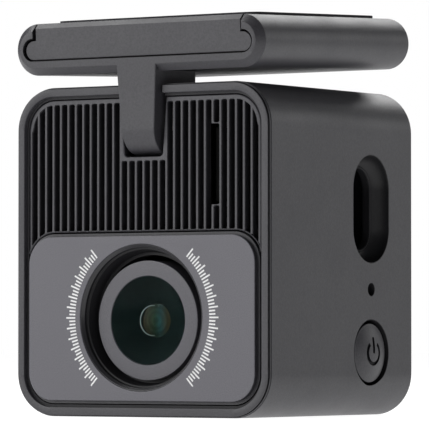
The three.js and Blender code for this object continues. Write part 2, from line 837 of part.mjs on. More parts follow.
function capacitorTray() {
  const rim = CAPACITOR_R + 1;
  const high = CAPACITOR_FOOT + 2;
  const low = [CAPACITOR_X - rim, CAPACITOR_Y[0] - rim, CAPACITOR_FOOT - 4];
  let tray = solid(block(low, [CAPACITOR_X + rim, CAPACITOR_Y[1] + rim, high]));
  for (const y of CAPACITOR_Y) {
    const pocket = circle(CAPACITOR_X, y, CAPACITOR_R + FIT_GAP);
    tray = tray.subtract(solid(alongZ(pocket, CAPACITOR_FOOT - 0.6, high + PAST, 12)));
  }
  return geometryOf(tray);
}

piece("capacitor_tray", "black", capacitorTray());
piece("backup_capacitor_front", "film", capacitor(CAPACITOR_Y[0]));
piece("backup_capacitor_rear", "film", capacitor(CAPACITOR_Y[1]));

// ---------------------------------------------------------------- loudspeaker, light, aerial

const MAGNET_R = 5;
const MAGNET_FRONT = 34.4;
const BASKET_BACK = 38.8;
const CONE_FRONT = 36.5;
const DUST_CAP_R = 4;
const SHEET = 0.4;

function aboutSpeaker(profile, segments = 20) {
  const points = profile.map(([r, y]) => new THREE.Vector2(r, y));
  return new THREE.LatheGeometry(points, segments).translate(SPEAKER.x, 0, SPEAKER.z);
}

// Magnet and basket, open towards the lid
function speakerFrame() {
  return aboutSpeaker([
    [0, MAGNET_FRONT],
    [MAGNET_R, MAGNET_FRONT],
    [MAGNET_R, MAGNET_FRONT + 1.2],
    [SPEAKER.r, MAGNET_FRONT + 2],
    [SPEAKER.r, BASKET_BACK],
    [SPEAKER.r - 1, BASKET_BACK],
    [SPEAKER.r - 1, CONE_FRONT + 0.5],
    [DUST_CAP_R, CONE_FRONT - 0.5],
    [0, CONE_FRONT - 0.5],
  ]);
}

function speakerCone() {
  const rim = SPEAKER.r - 1.4;
  const rise = 1.1;
  return aboutSpeaker([
    [0, CONE_FRONT],
    [DUST_CAP_R, CONE_FRONT],
    [rim, CONE_FRONT + rise],
    [rim, CONE_FRONT + rise + SHEET],
    [DUST_CAP_R, CONE_FRONT + SHEET],
    [0, CONE_FRONT + SHEET],
  ]);
}

function statusLightPipe() {
  const r = STATUS_LIGHT.r - 0.2;
  const length = 3;
  const back = BODY_BACK - 0.1;
  return new THREE.CylinderGeometry(r, r, length, 16).translate(
    STATUS_LIGHT.x,
    back - length / 2,
    STATUS_LIGHT.z,
  );
}

// Flat foil aerial on the inside of the left wall
function wifiAerial() {
  const x = -BODY_HALF + SHELL_WALL + FIT_GAP;
  return block([x, 8, 24], [x + FIT_GAP, 30, 36]);
}

piece("speaker_frame", "steel", speakerFrame());
piece("speaker_cone", "foam", speakerCone());
piece("status_light_pipe", "nylon", statusLightPipe());
piece("wifi_aerial", "copper", wifiAerial());

// ---------------------------------------------------------------- button board and button

const BUTTON_BOARD_X = 15.4;
const BUTTON_BOARD_THICK = 0.8;
const SWITCH_BACK = BUTTON_BOARD_X + BUTTON_BOARD_THICK + BOARD_GAP;
const SWITCH_FRONT = 18.5;
const SWITCH_HALF = 2.6;
const PLUNGER_R = 0.8;
const PLUNGER_BACK = 17.4;
const PLUNGER_FRONT = 19.1;

function tactSwitch() {
  const body = block(
    [SWITCH_BACK, SIDE_LINE_Y - SWITCH_HALF, BUTTON_Z - SWITCH_HALF],
    [SWITCH_FRONT, SIDE_LINE_Y + SWITCH_HALF, BUTTON_Z + SWITCH_HALF],
  );
  const outline = circle(SIDE_LINE_Y, BUTTON_Z, PLUNGER_R + FIT_GAP);
  const bore = alongX(outline, SWITCH_BACK + 0.2, SWITCH_FRONT + PAST, 6);
  return geometryOf(solid(body).subtract(solid(bore)));
}

function switchPlunger() {
  const profile = [
    [0, PLUNGER_BACK],
    [PLUNGER_R, PLUNGER_BACK],
    [PLUNGER_R, PLUNGER_FRONT],
    [0, PLUNGER_FRONT],
  ];
  return turnedX(profile, SIDE_LINE_Y, BUTTON_Z, 12);
}

// Domed cap with a retaining flange inside the casing and a short stem
function powerButton() {
  const stem = 1.2;
  const stemEnd = PLUNGER_FRONT + FIT_GAP;
  const flange = 5.3;
  const flangeBack = stemEnd + 0.5;
  const flangeFront = flangeBack + 0.6;
  const profile = [
    [0, stemEnd],
    [stem, stemEnd],
    [stem, flangeBack],
    [flange, flangeBack],
    [flange, flangeFront],
    [BUTTON_R, flangeFront],
    ...domeArc(BUTTON_R, BUTTON_CROWN, BUTTON_CROWN - 0.7).reverse(),
  ];
  return turnedX(profile, SIDE_LINE_Y, BUTTON_Z);
}

const MICROPHONE_THICK = 1.1;
const GASKET_BORE = 0.9;
const GASKET_R = 1.8;

function microphone() {
  return block(
    [SWITCH_BACK, SIDE_LINE_Y - 1.5, MIC_Z - 1.9],
    [SWITCH_BACK + MICROPHONE_THICK, SIDE_LINE_Y + 1.5, MIC_Z + 1.9],
  );
}

// Rubber tube from the microphone to its hole in the casing
function micGasket() {
  const inner = SWITCH_BACK + MICROPHONE_THICK + 0.5;
  const outer = BODY_HALF - SHELL_WALL - FIT_GAP;
  const tube = [
    [GASKET_BORE, inner],
    [GASKET_R, inner],
    [GASKET_R, outer],
    [GASKET_BORE, outer],
  ];
  return turnedX([...tube, tube[0]], SIDE_LINE_Y, MIC_Z, 16);
}

function buttonBoard() {
  return block([BUTTON_BOARD_X, 23, 4.5], [BUTTON_BOARD_X + BUTTON_BOARD_THICK, 35, 22.5]);
}

piece("button_board", "board", buttonBoard());
piece("tact_switch", "black", tactSwitch());
piece("switch_plunger", "nylon", switchPlunger());
piece("power_button", "casing", powerButton());
piece("microphone", "steel", microphone());
piece("microphone_gasket", "rubber", micGasket());

// ---------------------------------------------------------------- hinge

const CRADLE_FRONT = 2.5;
const CRADLE_BACK = 12.4;
const CRADLE_SCREW = { x: 5.8, y: 10, r: 0.6, bore: 0.8, length: 5 };

// U-shaped cradle under the casing's top wall: two cheeks hold the pin, the arm swings between
function hingeCradle() {
  const inner = CHEEK_INNER;
  const cradleLow = PIVOT_Z - ARM_RADIUS - CRADLE_FOOT;
  const outer = block(
    [-CHEEK_OUTER, CRADLE_FRONT, cradleLow],
    [CHEEK_OUTER, CRADLE_BACK, BODY_HEIGHT - 2],
  );
  const front = CRADLE_FRONT - PAST;
  const sweep = alongX(circle(PIVOT_Y, PIVOT_Z, ARM_SWEEP_R), -inner, inner, 14);
  const above = block([-inner, front, PIVOT_Z], [inner, PIVOT_Y + ARM_SWEEP_R, BODY_HEIGHT]);
  const ahead = block([-inner, front, PIVOT_Z - ARM_SWEEP_R], [inner, PIVOT_Y, BODY_HEIGHT]);
  const pinHole = circle(PIVOT_Y, PIVOT_Z, PIN_BORE_R);
  const bore = alongX(pinHole, -CHEEK_OUTER - PAST, CHEEK_OUTER + PAST, 12);
  let cradle = solid(outer)
    .subtract(solid(sweep))
    .subtract(solid(above))
    .subtract(solid(ahead))
    .subtract(solid(bore));
  for (const side of [-1, 1]) {
    const hole = circle(side * CRADLE_SCREW.x, CRADLE_SCREW.y, CRADLE_SCREW.bore);
    cradle = cradle.subtract(solid(alongZ(hole, BODY_HEIGHT - 8, BODY_HEIGHT, 6)));
  }
  return geometryOf(cradle);
}

function hingePin() {
  const left = -7.4;
  const right = 7.5;
  const headR = 1.7;
  const headThick = 0.8;
  const profile = [
    [0, left],
    [PIN_R, left],
    [PIN_R, right],
    [headR, right],
    [headR, right + headThick],
    [0, right + headThick],
  ];
  return turnedX(profile, PIVOT_Y, PIVOT_Z, 24);
}

function hingeWasher(side) {
  const bore = PIN_BORE_R + 0.1;
  const half = 0.35;
  const profile = [
    [bore, -half],
    [WASHER_R, -half],
    [WASHER_R, half],
    [bore, half],
  ];
  return turnedX([...profile, profile[0]], PIVOT_Y, PIVOT_Z, 24).translate(side * 3.75, 0, 0);
}

// Set screw that ties a cheek of the cradle up to the casing
function cradleScrew(side) {
  const { x, y, r, length } = CRADLE_SCREW;
  return new THREE.CylinderGeometry(r, r, length, 12)
    .rotateX(Math.PI / 2)
    .translate(side * x, y, BODY_HEIGHT - 2.1 - length / 2);
}

piece("hinge_cradle", "black", hingeCradle());
piece("hinge_pin", "steel", hingePin());
for (const [name, side] of [
  ["left", -1],
  ["right", 1],
]) {
  piece("hinge_washer_" + name, "nylon", hingeWasher(side));
  piece("cradle_screw_" + name, "steel", cradleScrew(side));
}

// ---------------------------------------------------------------- windscreen bracket

// Slab: a flat round-edged bar, chamfered at its front and back faces
function slabBody() {
  const inset = SLAB_CHAMFER;
  const half = SLAB_HALF - inset;
  const low = SLAB_BOTTOM + inset;
  const high = SLAB_TOP - inset;
  const outline = roundRect(-half, low, half, high, (high - low) / 2 - 1e-3);
  const bevel = { bevelEnabled: true, bevelSegments: 1, bevelThickness: inset, bevelSize: inset };
  return extrude(outline, SLAB_BACK - SLAB_FRONT - 2 * inset, 6, bevel)
    .rotateX(Math.PI / 2)
    .translate(0, SLAB_BACK - inset, 0);
}

// Section of the dovetail: a round-edged bulb below and a narrower neck above
function dovetail(clearance, y0, y1, neckTop) {
  const low = PLATE_BULB_BOTTOM - clearance;
  const high = PLATE_BULB_TOP + clearance;
  const half = PLATE_BULB_HALF + clearance;
  const neck = PLATE_NECK_HALF + clearance;
  const bulb = alongY(roundRect(-half, low, half, high, (high - low) / 2 - 1e-3), y0, y1, 4);
  return solid(bulb).add(solid(alongY(rect(-neck, low + 1, neck, neckTop), y0, y1)));
}

// Arm: level with the slab's front face, tapering down to a toe that is round in front and behind
function armBody() {
  const overlap = 1.6;
  const top = SLAB_BOTTOM + overlap;
  const foot = PIVOT_Z - ARM_RADIUS;
  const toe = [SLAB_FRONT + ARM_TOE_R, foot + ARM_TOE_R];
  const side = new THREE.Shape();
  side.moveTo(SLAB_FRONT, top);
  side.absarc(...toe, ARM_TOE_R, Math.PI, Math.PI * 1.5, false);
  side.absarc(PIVOT_Y, PIVOT_Z, ARM_RADIUS, Math.PI * 1.5, Math.PI * 2, false);
  side.lineTo(PIVOT_Y + ARM_RADIUS, top);
  const low = foot - 0.5;
  const high = SLAB_BOTTOM + 2;
  const front = polygon([
    [-ARM_TIP_HALF, low],
    [ARM_TIP_HALF, low],
    [ARM_TOP_HALF, high],
    [-ARM_TOP_HALF, high],
  ]);
  const taper = alongY(front, SLAB_FRONT - PAST, PIVOT_Y + ARM_RADIUS + PAST);
  return solid(alongX(side, -ARM_TOP_HALF - PAST, ARM_TOP_HALF + PAST, 8)).intersect(solid(taper));
}

function mountBracket() {
  const channel = dovetail(FIT_GAP, SLAB_FRONT - PAST, CHANNEL_BACK, SLAB_TOP + PAST);
  const reach = ARM_TOP_HALF + PAST;
  const pinBore = alongX(circle(PIVOT_Y, PIVOT_Z, PIN_BORE_R), -reach, reach, 12);
  return geometryOf(solid(slabBody()).add(armBody()).subtract(channel).subtract(solid(pinBore)));
}

// Slide plate: fills the channel, its front top edge chamfered like the slab's
function slidePlate() {
  const front = SLAB_FRONT + SLIDE_RECESS;
  const chamfer = SLAB_CHAMFER - SLIDE_RECESS;
  const plate = dovetail(0, front, CHANNEL_BACK - FIT_GAP, SLAB_TOP);
  const wedge = polygon([
    [front - PAST, SLAB_TOP - chamfer - PAST],
    [front + chamfer + PAST, SLAB_TOP + PAST],
    [front - PAST, SLAB_TOP + PAST],
  ]);
  return geometryOf(plate.subtract(solid(alongX(wedge, -SLAB_HALF, SLAB_HALF))));
}

function adhesivePad() {
  const outline = roundRect(-PAD_HALF, PAD_FRONT, PAD_HALF, PAD_BACK, PAD_CORNER);
  return alongZ(outline, SLAB_TOP + PAD_GAP, SLAB_TOP + PAD_THICK, 5);
}

// A piece of the bracket, turned about the hinge to its resting tilt
function tilted(geometry) {
  return geometry
    .translate(0, -PIVOT_Y, -PIVOT_Z)
    .rotateX(REST_TILT)
    .translate(0, PIVOT_Y, PIVOT_Z);
}

piece("mount_bracket", "casing", tilted(mountBracket()));
piece("slide_plate", "casing", tilted(slidePlate()));
piece("adhesive_pad", "foam", tilted(adhesivePad()));

// The origin is on the ground under the middle of the whole
const whole = new THREE.Box3().setFromObject(camera);
camera.position.y = -(whole.min.y + whole.max.y) / 2;

export default camera;
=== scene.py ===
# Looks of a windscreen dash camera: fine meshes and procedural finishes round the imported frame.
# Shapes are worked out in millimetres, in the row frame, and scaled to metres when a mesh is made.
import json
import math

import bpy
from mathutils import Matrix, Vector
from mathutils.geometry import tessellate_polygon

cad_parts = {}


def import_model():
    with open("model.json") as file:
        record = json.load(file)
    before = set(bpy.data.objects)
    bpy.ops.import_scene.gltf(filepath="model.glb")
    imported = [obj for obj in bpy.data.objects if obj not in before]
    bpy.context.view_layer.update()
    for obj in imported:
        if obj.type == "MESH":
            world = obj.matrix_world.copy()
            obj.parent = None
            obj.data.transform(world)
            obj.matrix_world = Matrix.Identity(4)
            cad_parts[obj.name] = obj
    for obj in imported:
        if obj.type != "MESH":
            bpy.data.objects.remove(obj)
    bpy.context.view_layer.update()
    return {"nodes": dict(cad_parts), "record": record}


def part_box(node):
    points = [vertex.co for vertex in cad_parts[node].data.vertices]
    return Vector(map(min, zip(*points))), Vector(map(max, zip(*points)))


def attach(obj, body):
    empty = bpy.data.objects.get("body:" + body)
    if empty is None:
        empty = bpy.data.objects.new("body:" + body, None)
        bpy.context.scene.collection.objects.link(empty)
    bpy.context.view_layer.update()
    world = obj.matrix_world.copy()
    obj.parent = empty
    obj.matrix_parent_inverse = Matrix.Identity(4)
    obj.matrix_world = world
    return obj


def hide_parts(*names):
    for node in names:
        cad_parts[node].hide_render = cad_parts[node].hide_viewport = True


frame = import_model()
MM = 0.001


# ---------------------------------------------------------------- places read from the frame


def span(node):
    """Lowest and highest corner of a CAD node, in millimetres."""
    low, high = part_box(node)
    return Vector(low) / MM, Vector(high) / MM


def middle_of(node):
    """Middle of a CAD node's box, in millimetres."""
    low, high = span(node)
    return (low + high) / 2


SHELL_LOW, SHELL_HIGH = span("main_shell")
PANEL_LOW, PANEL_HIGH = span("grille_panel")
PLATE_LOW, PLATE_HIGH = span("lens_plate")
COVER_LOW, COVER_HIGH = span("rear_cover")
BUTTON_CROWN = span("power_button")[1].x
FACE_Y = span("front_bezel")[0].y

LENS = Vector((0, 0, middle_of("lens_ring").z))
MOUTH = LENS + Vector((0, 0, 0.14))  # the well and the tick marks lie a little above the ring's centre
EYE = LENS - Vector((0, 0, 0.27))  # the ring, the glass and the bowl lie a little below it
BUTTON = middle_of("power_button")
SOCKET = middle_of("usb_shell")
MIC = middle_of("microphone")
SPEAKER = middle_of("speaker_frame")
LIGHT_PIPE = middle_of("status_light_pipe")
JOINTS = {joint["name"]: joint for joint in frame["record"]["behaviour"]["joints"]}
PIVOT = Vector(JOINTS["tilt_hinge"]["pos_m"]) / MM
SLIDE_WAY = Vector(JOINTS["bracket_slide"]["axis"])
TILT = math.atan2(SLIDE_WAY.z, SLIDE_WAY.y)


def from_face(depth):
    """Row-frame y of a depth behind the bezel's front face."""
    return FACE_Y + depth


# ---------------------------------------------------------------- outlines


def arc(cx, cy, r, start, end, steps):
    """Points of an arc, angles in degrees."""
    angles = [math.radians(start + (end - start) * i / steps) for i in range(steps + 1)]
    return [(cx + r * math.cos(a), cy + r * math.sin(a)) for a in angles]


def round_rect(x0, y0, x1, y1, r, steps=14):
    """Anticlockwise rectangle with round corners."""
    return (
        arc(x1 - r, y0 + r, r, -90, 0, steps)
        + arc(x1 - r, y1 - r, r, 0, 90, steps)
        + arc(x0 + r, y1 - r, r, 90, 180, steps)
        + arc(x0 + r, y0 + r, r, 180, 270, steps)
    )


def circle(cx, cy, r, steps=72):
    return arc(cx, cy, r, 0, 360, steps)[:-1]


def upright_stadium(cx, cy, half_width, half_height, steps=20):
    """Anticlockwise slot with full-round top and bottom."""
    top, bottom = cy + half_height - half_width, cy - half_height + half_width
    return arc(cx, top, half_width, 0, 180, steps) + arc(cx, bottom, half_width, 180, 360, steps)


def flat_stadium(cx, cy, half_width, half_height, steps=20):
    """Anticlockwise slot with full-round left and right ends."""
    right, left = cx + half_width - half_height, cx - half_width + half_height
    return arc(right, cy, half_height, -90, 90, steps) + arc(left, cy, half_height, 90, 270, steps)


def ring_sector(cx, cy, inner, outer, start, end, steps=40):
    """Part of a flat ring with square ends, angles in degrees."""
    return arc(cx, cy, outer, start, end, steps) + arc(cx, cy, inner, end, start, steps)


def inset(loop, distance):
    """The loop moved towards its left-hand side, which is where its material is."""
    if not distance:
        return list(loop)
    moved = []
    for i, point in enumerate(loop):
        here = Vector(point)
        ahead = (Vector(loop[(i + 1) % len(loop)]) - here).normalized()
        behind = (here - Vector(loop[i - 1])).normalized()
        left_a, left_b = Vector((-ahead.y, ahead.x)), Vector((-behind.y, behind.x))
        moved.append(tuple(here + (left_a + left_b) * distance / (1 + left_a.dot(left_b))))
    return moved


# ---------------------------------------------------------------- meshes

NO_AREA = 1e-12  # a triangle of less than this is dropped
ON_AXIS = 1e-9  # a radius below this is a point on the axis


def rim(radius, low, high, steps=3):
    """Levels of (inset, depth) from one face to the other, both rims rounded by the radius."""
    turns = [math.pi / 2 * i / steps for i in range(steps + 1)]
    front = [(radius * (1 - math.sin(t)), low + radius * (1 - math.cos(t))) for t in turns]
    back = [(radius * (1 - math.sin(t)), high - radius * (1 - math.cos(t))) for t in reversed(turns)]
    return front + back


def lay_out(axis):
    """How a point of an outline and its depth become x, y and z, and whether that mirrors it."""
    if axis == "Y":
        return (lambda u, v, d: (u, d, v)), True
    if axis == "X":
        return (lambda u, v, d: (d, u, v)), False
    return (lambda u, v, d: (u, v, d)), False


def prism(outer, levels, holes=(), axis="Y", hole_rim=1.0):
    """Vertices and faces of a closed plate: an outline with holes, run through the levels.
    The holes' edges are softened by at most hole_rim."""
    place, mirrored = lay_out(axis)
    loops = [list(outer)] + [list(reversed(hole)) for hole in holes]
    verts, faces, starts = [], [], []
    for depth_inset, depth in levels:
        row = []
        for k, loop in enumerate(loops):
            row.append(len(verts))
            soft = min(depth_inset, hole_rim) if k else depth_inset
            verts += [place(u, v, depth) for u, v in inset(loop, soft)]
        starts.append(row)
    for level in range(len(levels) - 1):
        for k, loop in enumerate(loops):
            a, b, n = starts[level][k], starts[level + 1][k], len(loop)
            for i in range(n):
                j = (i + 1) % n
                faces.append((a + i, a + j, b + j, b + i))
    for level, up in ((0, False), (-1, True)):
        soft = levels[level][0]
        insets = [soft] + [min(soft, hole_rim)] * len(holes)
        ring = [[Vector((*p, 0)) for p in inset(loop, d)] for loop, d in zip(loops, insets)]
        flat = [p for loop in ring for p in loop]
        for a, b, c in tessellate_polygon(ring):
            turn = (flat[b] - flat[a]).cross(flat[c] - flat[a]).z
            if abs(turn) < NO_AREA:
                continue
            tri = (a, b, c) if (turn > 0) == up else (a, c, b)
            faces.append(tuple(starts[level][0] + i for i in tri))
    if mirrored:
        faces = [tuple(reversed(f)) for f in faces]
    return verts, faces


def sweep(loop, section):
    """Closed band about Y: the section, points of (inset, depth) going round, swept round the loop."""
    verts, faces = [], []
    for depth_inset, depth in section:
        verts += [(u, depth, v) for u, v in inset(loop, depth_inset)]
    n, m = len(loop), len(section)
    for s in range(m):
        a, b = s * n, (s + 1) % m * n
        faces += [(b + i, b + (i + 1) % n, a + (i + 1) % n, a + i) for i in range(n)]
    return verts, faces


def turned(profile, centre, axis="Y", steps=96):
    """Solid turned about Y or X: points of (radius, depth), closed on itself or ended on the axis."""
    verts, rings = [], []
    for r, d in profile:
        is_ring = r > ON_AXIS
        rings.append((len(verts), is_ring))
        for i in range(steps if is_ring else 1):
            a = 2 * math.pi * i / steps
            u, v = r * math.cos(a), r * math.sin(a)
            if axis == "Y":
                verts.append((centre[0] + u, d, centre[2] + v))
            else:
                verts.append((d, centre[1] + u, centre[2] + v))
    faces = []
    for (a, a_ring), (b, b_ring) in zip(rings, rings[1:] + rings[:1]):
        if not a_ring and not b_ring:
            continue
        for i in range(steps):
            j = (i + 1) % steps
            quad = [a + i, a + j] if a_ring else [a]
            quad += [b + j, b + i] if b_ring else [b]
            faces.append(tuple(quad))
    if axis == "Y":
        faces = [tuple(reversed(f)) for f in faces]
    return verts, faces


def make(name, parts, look, smooth_below=32):
    """A mesh object in metres from one or more closed (verts, faces) parts."""
    verts, faces = [], []
    for part_verts, part_faces in parts:
        base = len(verts)
        verts += [tuple(c * MM for c in v) for v in part_verts]
        faces += [tuple(base + i for i in f) for f in part_faces]
    mesh = bpy.data.meshes.new(name)
    mesh.from_pydata(verts, [], faces)
    mesh.validate()
    obj = bpy.data.objects.new(name, mesh)
    bpy.context.scene.collection.objects.link(obj)
    if look is not None:
        mesh.materials.append(look)
    shade(obj, smooth_below)
    return obj


def shade(obj, smooth_below=32):
    """Smooth shading below an angle, with the large flat faces kept flat."""
    mesh = obj.data
    mesh.shade_smooth()
    mesh.set_sharp_from_angle(angle=math.radians(smooth_below))
    weighted = obj.modifiers.new("flat faces", "WEIGHTED_NORMAL")
    weighted.keep_sharp = True
    weighted.weight = 80


def paint(obj, look, where):
    """Gives a second finish to the faces whose middle (mm) and normal satisfy a test."""
    obj.data.materials.append(look)
    index = len(obj.data.materials) - 1
    for face in obj.data.polygons:
        if where(Vector(face.center) / MM, face.normal):
            face.material_index = index


def tilt_back(obj):
    """Turns a piece of the bracket about the hinge to its resting tilt."""
    turn = Matrix.Rotation(TILT, 4, "X")
    centre = Matrix.Translation(PIVOT * MM)
    obj.data.transform(centre @ turn @ centre.inverted())


def boolean(obj, others, operation, smooth_below=32):
    """Joins or cuts obj with the other objects, which are used up; their finish stays on the cut."""
    for modifier in list(obj.modifiers):
        obj.modifiers.remove(modifier)
    for other in others:
        step = obj.modifiers.new("boolean", "BOOLEAN")
        step.operation = operation
        step.solver = "EXACT"
        step.material_mode = "TRANSFER"
        step.object = other
        other.modifiers.clear()
    graph = bpy.context.evaluated_depsgraph_get()
    result = bpy.data.meshes.new_from_object(obj.evaluated_get(graph))
    obj.modifiers.clear()
    obj.data = result
    for other in others:
        bpy.data.objects.remove(other)
    shade(obj, smooth_below)
    return obj


def settle(obj, body, slot, *nodes):
    """The piece rides on a body and stands for CAD nodes, which are hidden. The slot is not used."""
    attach(obj, body)
    if nodes:
        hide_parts(*nodes)
    return obj


# ---------------------------------------------------------------- finishes

NOISE_LOW, NOISE_HIGH = 0.3, 0.7  # the part of a noise's range that is used


class Finish:
    """A material built round one Principled shader."""

    def __init__(self, name, roughness, **values):
        self.material = bpy.data.materials.new(name)
        self.material.use_nodes = True
        self.nodes = self.material.node_tree.nodes
        self.links = self.material.node_tree.links
        self.shader = self.nodes["Principled BSDF"]
        self.shader.inputs["Roughness"].default_value = roughness
        for key, value in values.items():
            self.shader.inputs[key.replace("_", " ")].default_value = value
        self.place = self.nodes.new("ShaderNodeTexCoord").outputs["Object"]

    def noise(self, size_mm, detail=3.0, roughness=0.6):
        node = self.nodes.new("ShaderNodeTexNoise")
        node.inputs["Scale"].default_value = 1 / (size_mm * MM)
        node.inputs["Detail"].default_value = detail
        node.inputs["Roughness"].default_value = roughness
        self.links.new(self.place, node.inputs["Vector"])
        return node.outputs["Fac"]

    def vary_roughness(self, value, low, high):
        node = self.nodes.new("ShaderNodeMapRange")
        node.inputs["From Min"].default_value = NOISE_LOW
        node.inputs["From Max"].default_value = NOISE_HIGH
        node.inputs["To Min"].default_value = low
        node.inputs["To Max"].default_value = high
        self.links.new(value, node.inputs["Value"])
        self.links.new(node.outputs["Result"], self.shader.inputs["Roughness"])

    def tint(self, value, dark, light, from_low=NOISE_LOW, from_high=NOISE_HIGH):
        node = self.nodes.new("ShaderNodeValToRGB")
        node.color_ramp.elements[0].position = from_low
        node.color_ramp.elements[1].position = from_high
        node.color_ramp.elements[0].color = (*dark, 1)
        node.color_ramp.elements[1].color = (*light, 1)
        self.links.new(value, node.inputs["Fac"])
        self.links.new(node.outputs["Color"], self.shader.inputs["Base Color"])

    def bump(self, value, height_mm):
        node = self.nodes.new("ShaderNodeBump")
        node.inputs["Strength"].default_value = 1.0
        node.inputs["Distance"].default_value = height_mm * MM
        self.links.new(value, node.inputs["Height"])
        self.links.new(node.outputs["Normal"], self.shader.inputs["Normal"])

    def vector_math(self, operation, value, other=None):
        """A vector operation on a socket and either another socket or a plain vector."""
        node = self.nodes.new("ShaderNodeVectorMath")
        node.operation = operation
        self.links.new(value, node.inputs[0])
        if isinstance(other, bpy.types.NodeSocket):
            self.links.new(other, node.inputs[1])
        elif other is not None:
            node.inputs[1].default_value = other
        return node.outputs["Value" if operation == "LENGTH" else "Vector"]

    def ramp(self, value, stops):
        """Colour ramp through the stops, pairs of place and colour."""
        node = self.nodes.new("ShaderNodeValToRGB")
        for _ in range(len(stops) - 2):
            node.color_ramp.elements.new(0.5)
        for element, (position, colour) in zip(node.color_ramp.elements, stops):
            element.position = position
            element.color = (*colour, 1)
        self.links.new(value, node.inputs["Fac"])
        return node.outputs["Color"]


# Hues, as factors on a grey level
GRAPHITE = (0.978, 0.955, 1.1)
NEUTRAL = (1.0, 1.0, 1.0)
WARM = (1.05, 1.0, 0.92)
AMBER = (1.9, 0.95, 0.35)
NAVY = (0.5, 0.7, 1.6)


def shade_of(level, hue):
    return tuple(level * c for c in hue)


def moulded(name, level, roughness, grain_mm=0.24, height_mm=0.016, hue=GRAPHITE, **values):
    """Spark-eroded plastic: fine even grain, faint mottling and patches of slightly different gloss."""
    f = Finish(name, roughness, **values)
    f.tint(f.noise(grain_mm * 1.3, 2), shade_of(level * 0.8, hue), shade_of(level * 1.2, hue))
    f.vary_roughness(f.noise(9, 3), roughness - 0.03, roughness + 0.05)
    f.bump(f.noise(grain_mm, 3), height_mm)
    return f.material


def fabric_black(name):
    """Fine woven acoustic cloth: small raised squares."""
    f = Finish(name, 0.9, Specular_IOR_Level=0.1)
    thread = f.nodes.new("ShaderNodeTexChecker")
    thread.inputs["Scale"].default_value = 1 / (0.18 * MM)
    f.links.new(f.place, thread.inputs["Vector"])
    f.tint(f.noise(0.3), shade_of(0.003, NEUTRAL), shade_of(0.009, NEUTRAL))
    f.bump(thread.outputs["Fac"], 0.02)
    return f.material


def metal(name, color, roughness, brushed_mm=0.3):
    f = Finish(name, roughness, Metallic=1.0)
    f.tint(f.noise(brushed_mm * 3), tuple(c * 0.9 for c in color), color)
    f.vary_roughness(f.noise(brushed_mm, 4), roughness - 0.06, roughness + 0.08)
    f.bump(f.noise(brushed_mm), 0.003)
    return f.material


def glass(name, colour, roughness=0.02, ior=1.55, mirror=0.5):
    """Coated glass: clear, tinted, with faint unevenness in the coating."""
    f = Finish(name, roughness, Transmission_Weight=1.0, IOR=ior, Specular_IOR_Level=mirror)
    f.tint(f.noise(2.5, 1), tuple(c * 0.85 for c in colour), colour)
    f.vary_roughness(f.noise(1.2, 2), roughness, roughness + 0.02)
    return f.material


def board_green(name):
    """Solder mask with the faint relief of tracks under it."""
    f = Finish(name, 0.35)
    f.tint(f.noise(1.2, 1), (0.004, 0.026, 0.012), (0.007, 0.045, 0.021), 0.47, 0.53)
    f.bump(f.noise(1.2, 1), 0.02)
    return f.material


def smooth(name, colour, roughness, mirror=0.15):
    """Polished surface with no grain, only a slow drift of its colour."""
    f = Finish(name, roughness, Specular_IOR_Level=mirror)
    f.tint(f.noise(4, 1), tuple(c * 0.92 for c in colour), colour)
    f.vary_roughness(f.noise(3, 1), roughness, roughness + 0.03)
    return f.material


def painted_reflections(name):
    """Painted reflections on the inner lens: olive and teal bands across it, in soft rings round its
    middle.
    """
    f = Finish(name, 0.3, Specular_IOR_Level=0.1)
    reach = 2.5 * MM
    from_eye = f.vector_math("SUBTRACT", f.place, EYE * MM)
    flat = f.vector_math("MULTIPLY", from_eye, (1 / reach, 0, 1 / reach))
    away = f.vector_math("LENGTH", flat)
    split = f.nodes.new("ShaderNodeSeparateXYZ")
    f.links.new(flat, split.inputs["Vector"])
    across = f.nodes.new("ShaderNodeMapRange")
    across.inputs["From Min"].default_value = -1
    across.inputs["From Max"].default_value = 1
    f.links.new(split.outputs["X"], across.inputs["Value"])
    olive, teal, dark = (0.08, 0.062, 0.033), (0.02, 0.075, 0.08), (0.016, 0.042, 0.02)
    # Painted reflection colours: olive on the left and teal on the right, dark between
    reflection_hues = ((0.1, olive), (0.45, dark), (0.66, teal), (0.9, olive))
    bright, pale, dim, dimmer = (1, 1, 1), (0.8, 0.8, 0.8), (0.45, 0.45, 0.45), (0.3, 0.3, 0.3)
    edge = (0.5, 0.42, 0.35)
    rings = ((0.1, dim), (0.28, bright), (0.5, dim), (0.66, pale), (0.8, dimmer), (0.94, edge))
    hue = f.ramp(across.outputs["Result"], reflection_hues)
    reflection_brightness = f.ramp(away, rings)
    mixed = f.vector_math("MULTIPLY", hue, reflection_brightness)
    f.links.new(mixed, f.shader.inputs["Base Color"])
    f.vary_roughness(f.noise(1.5, 1), 0.28, 0.34)
    return f.material


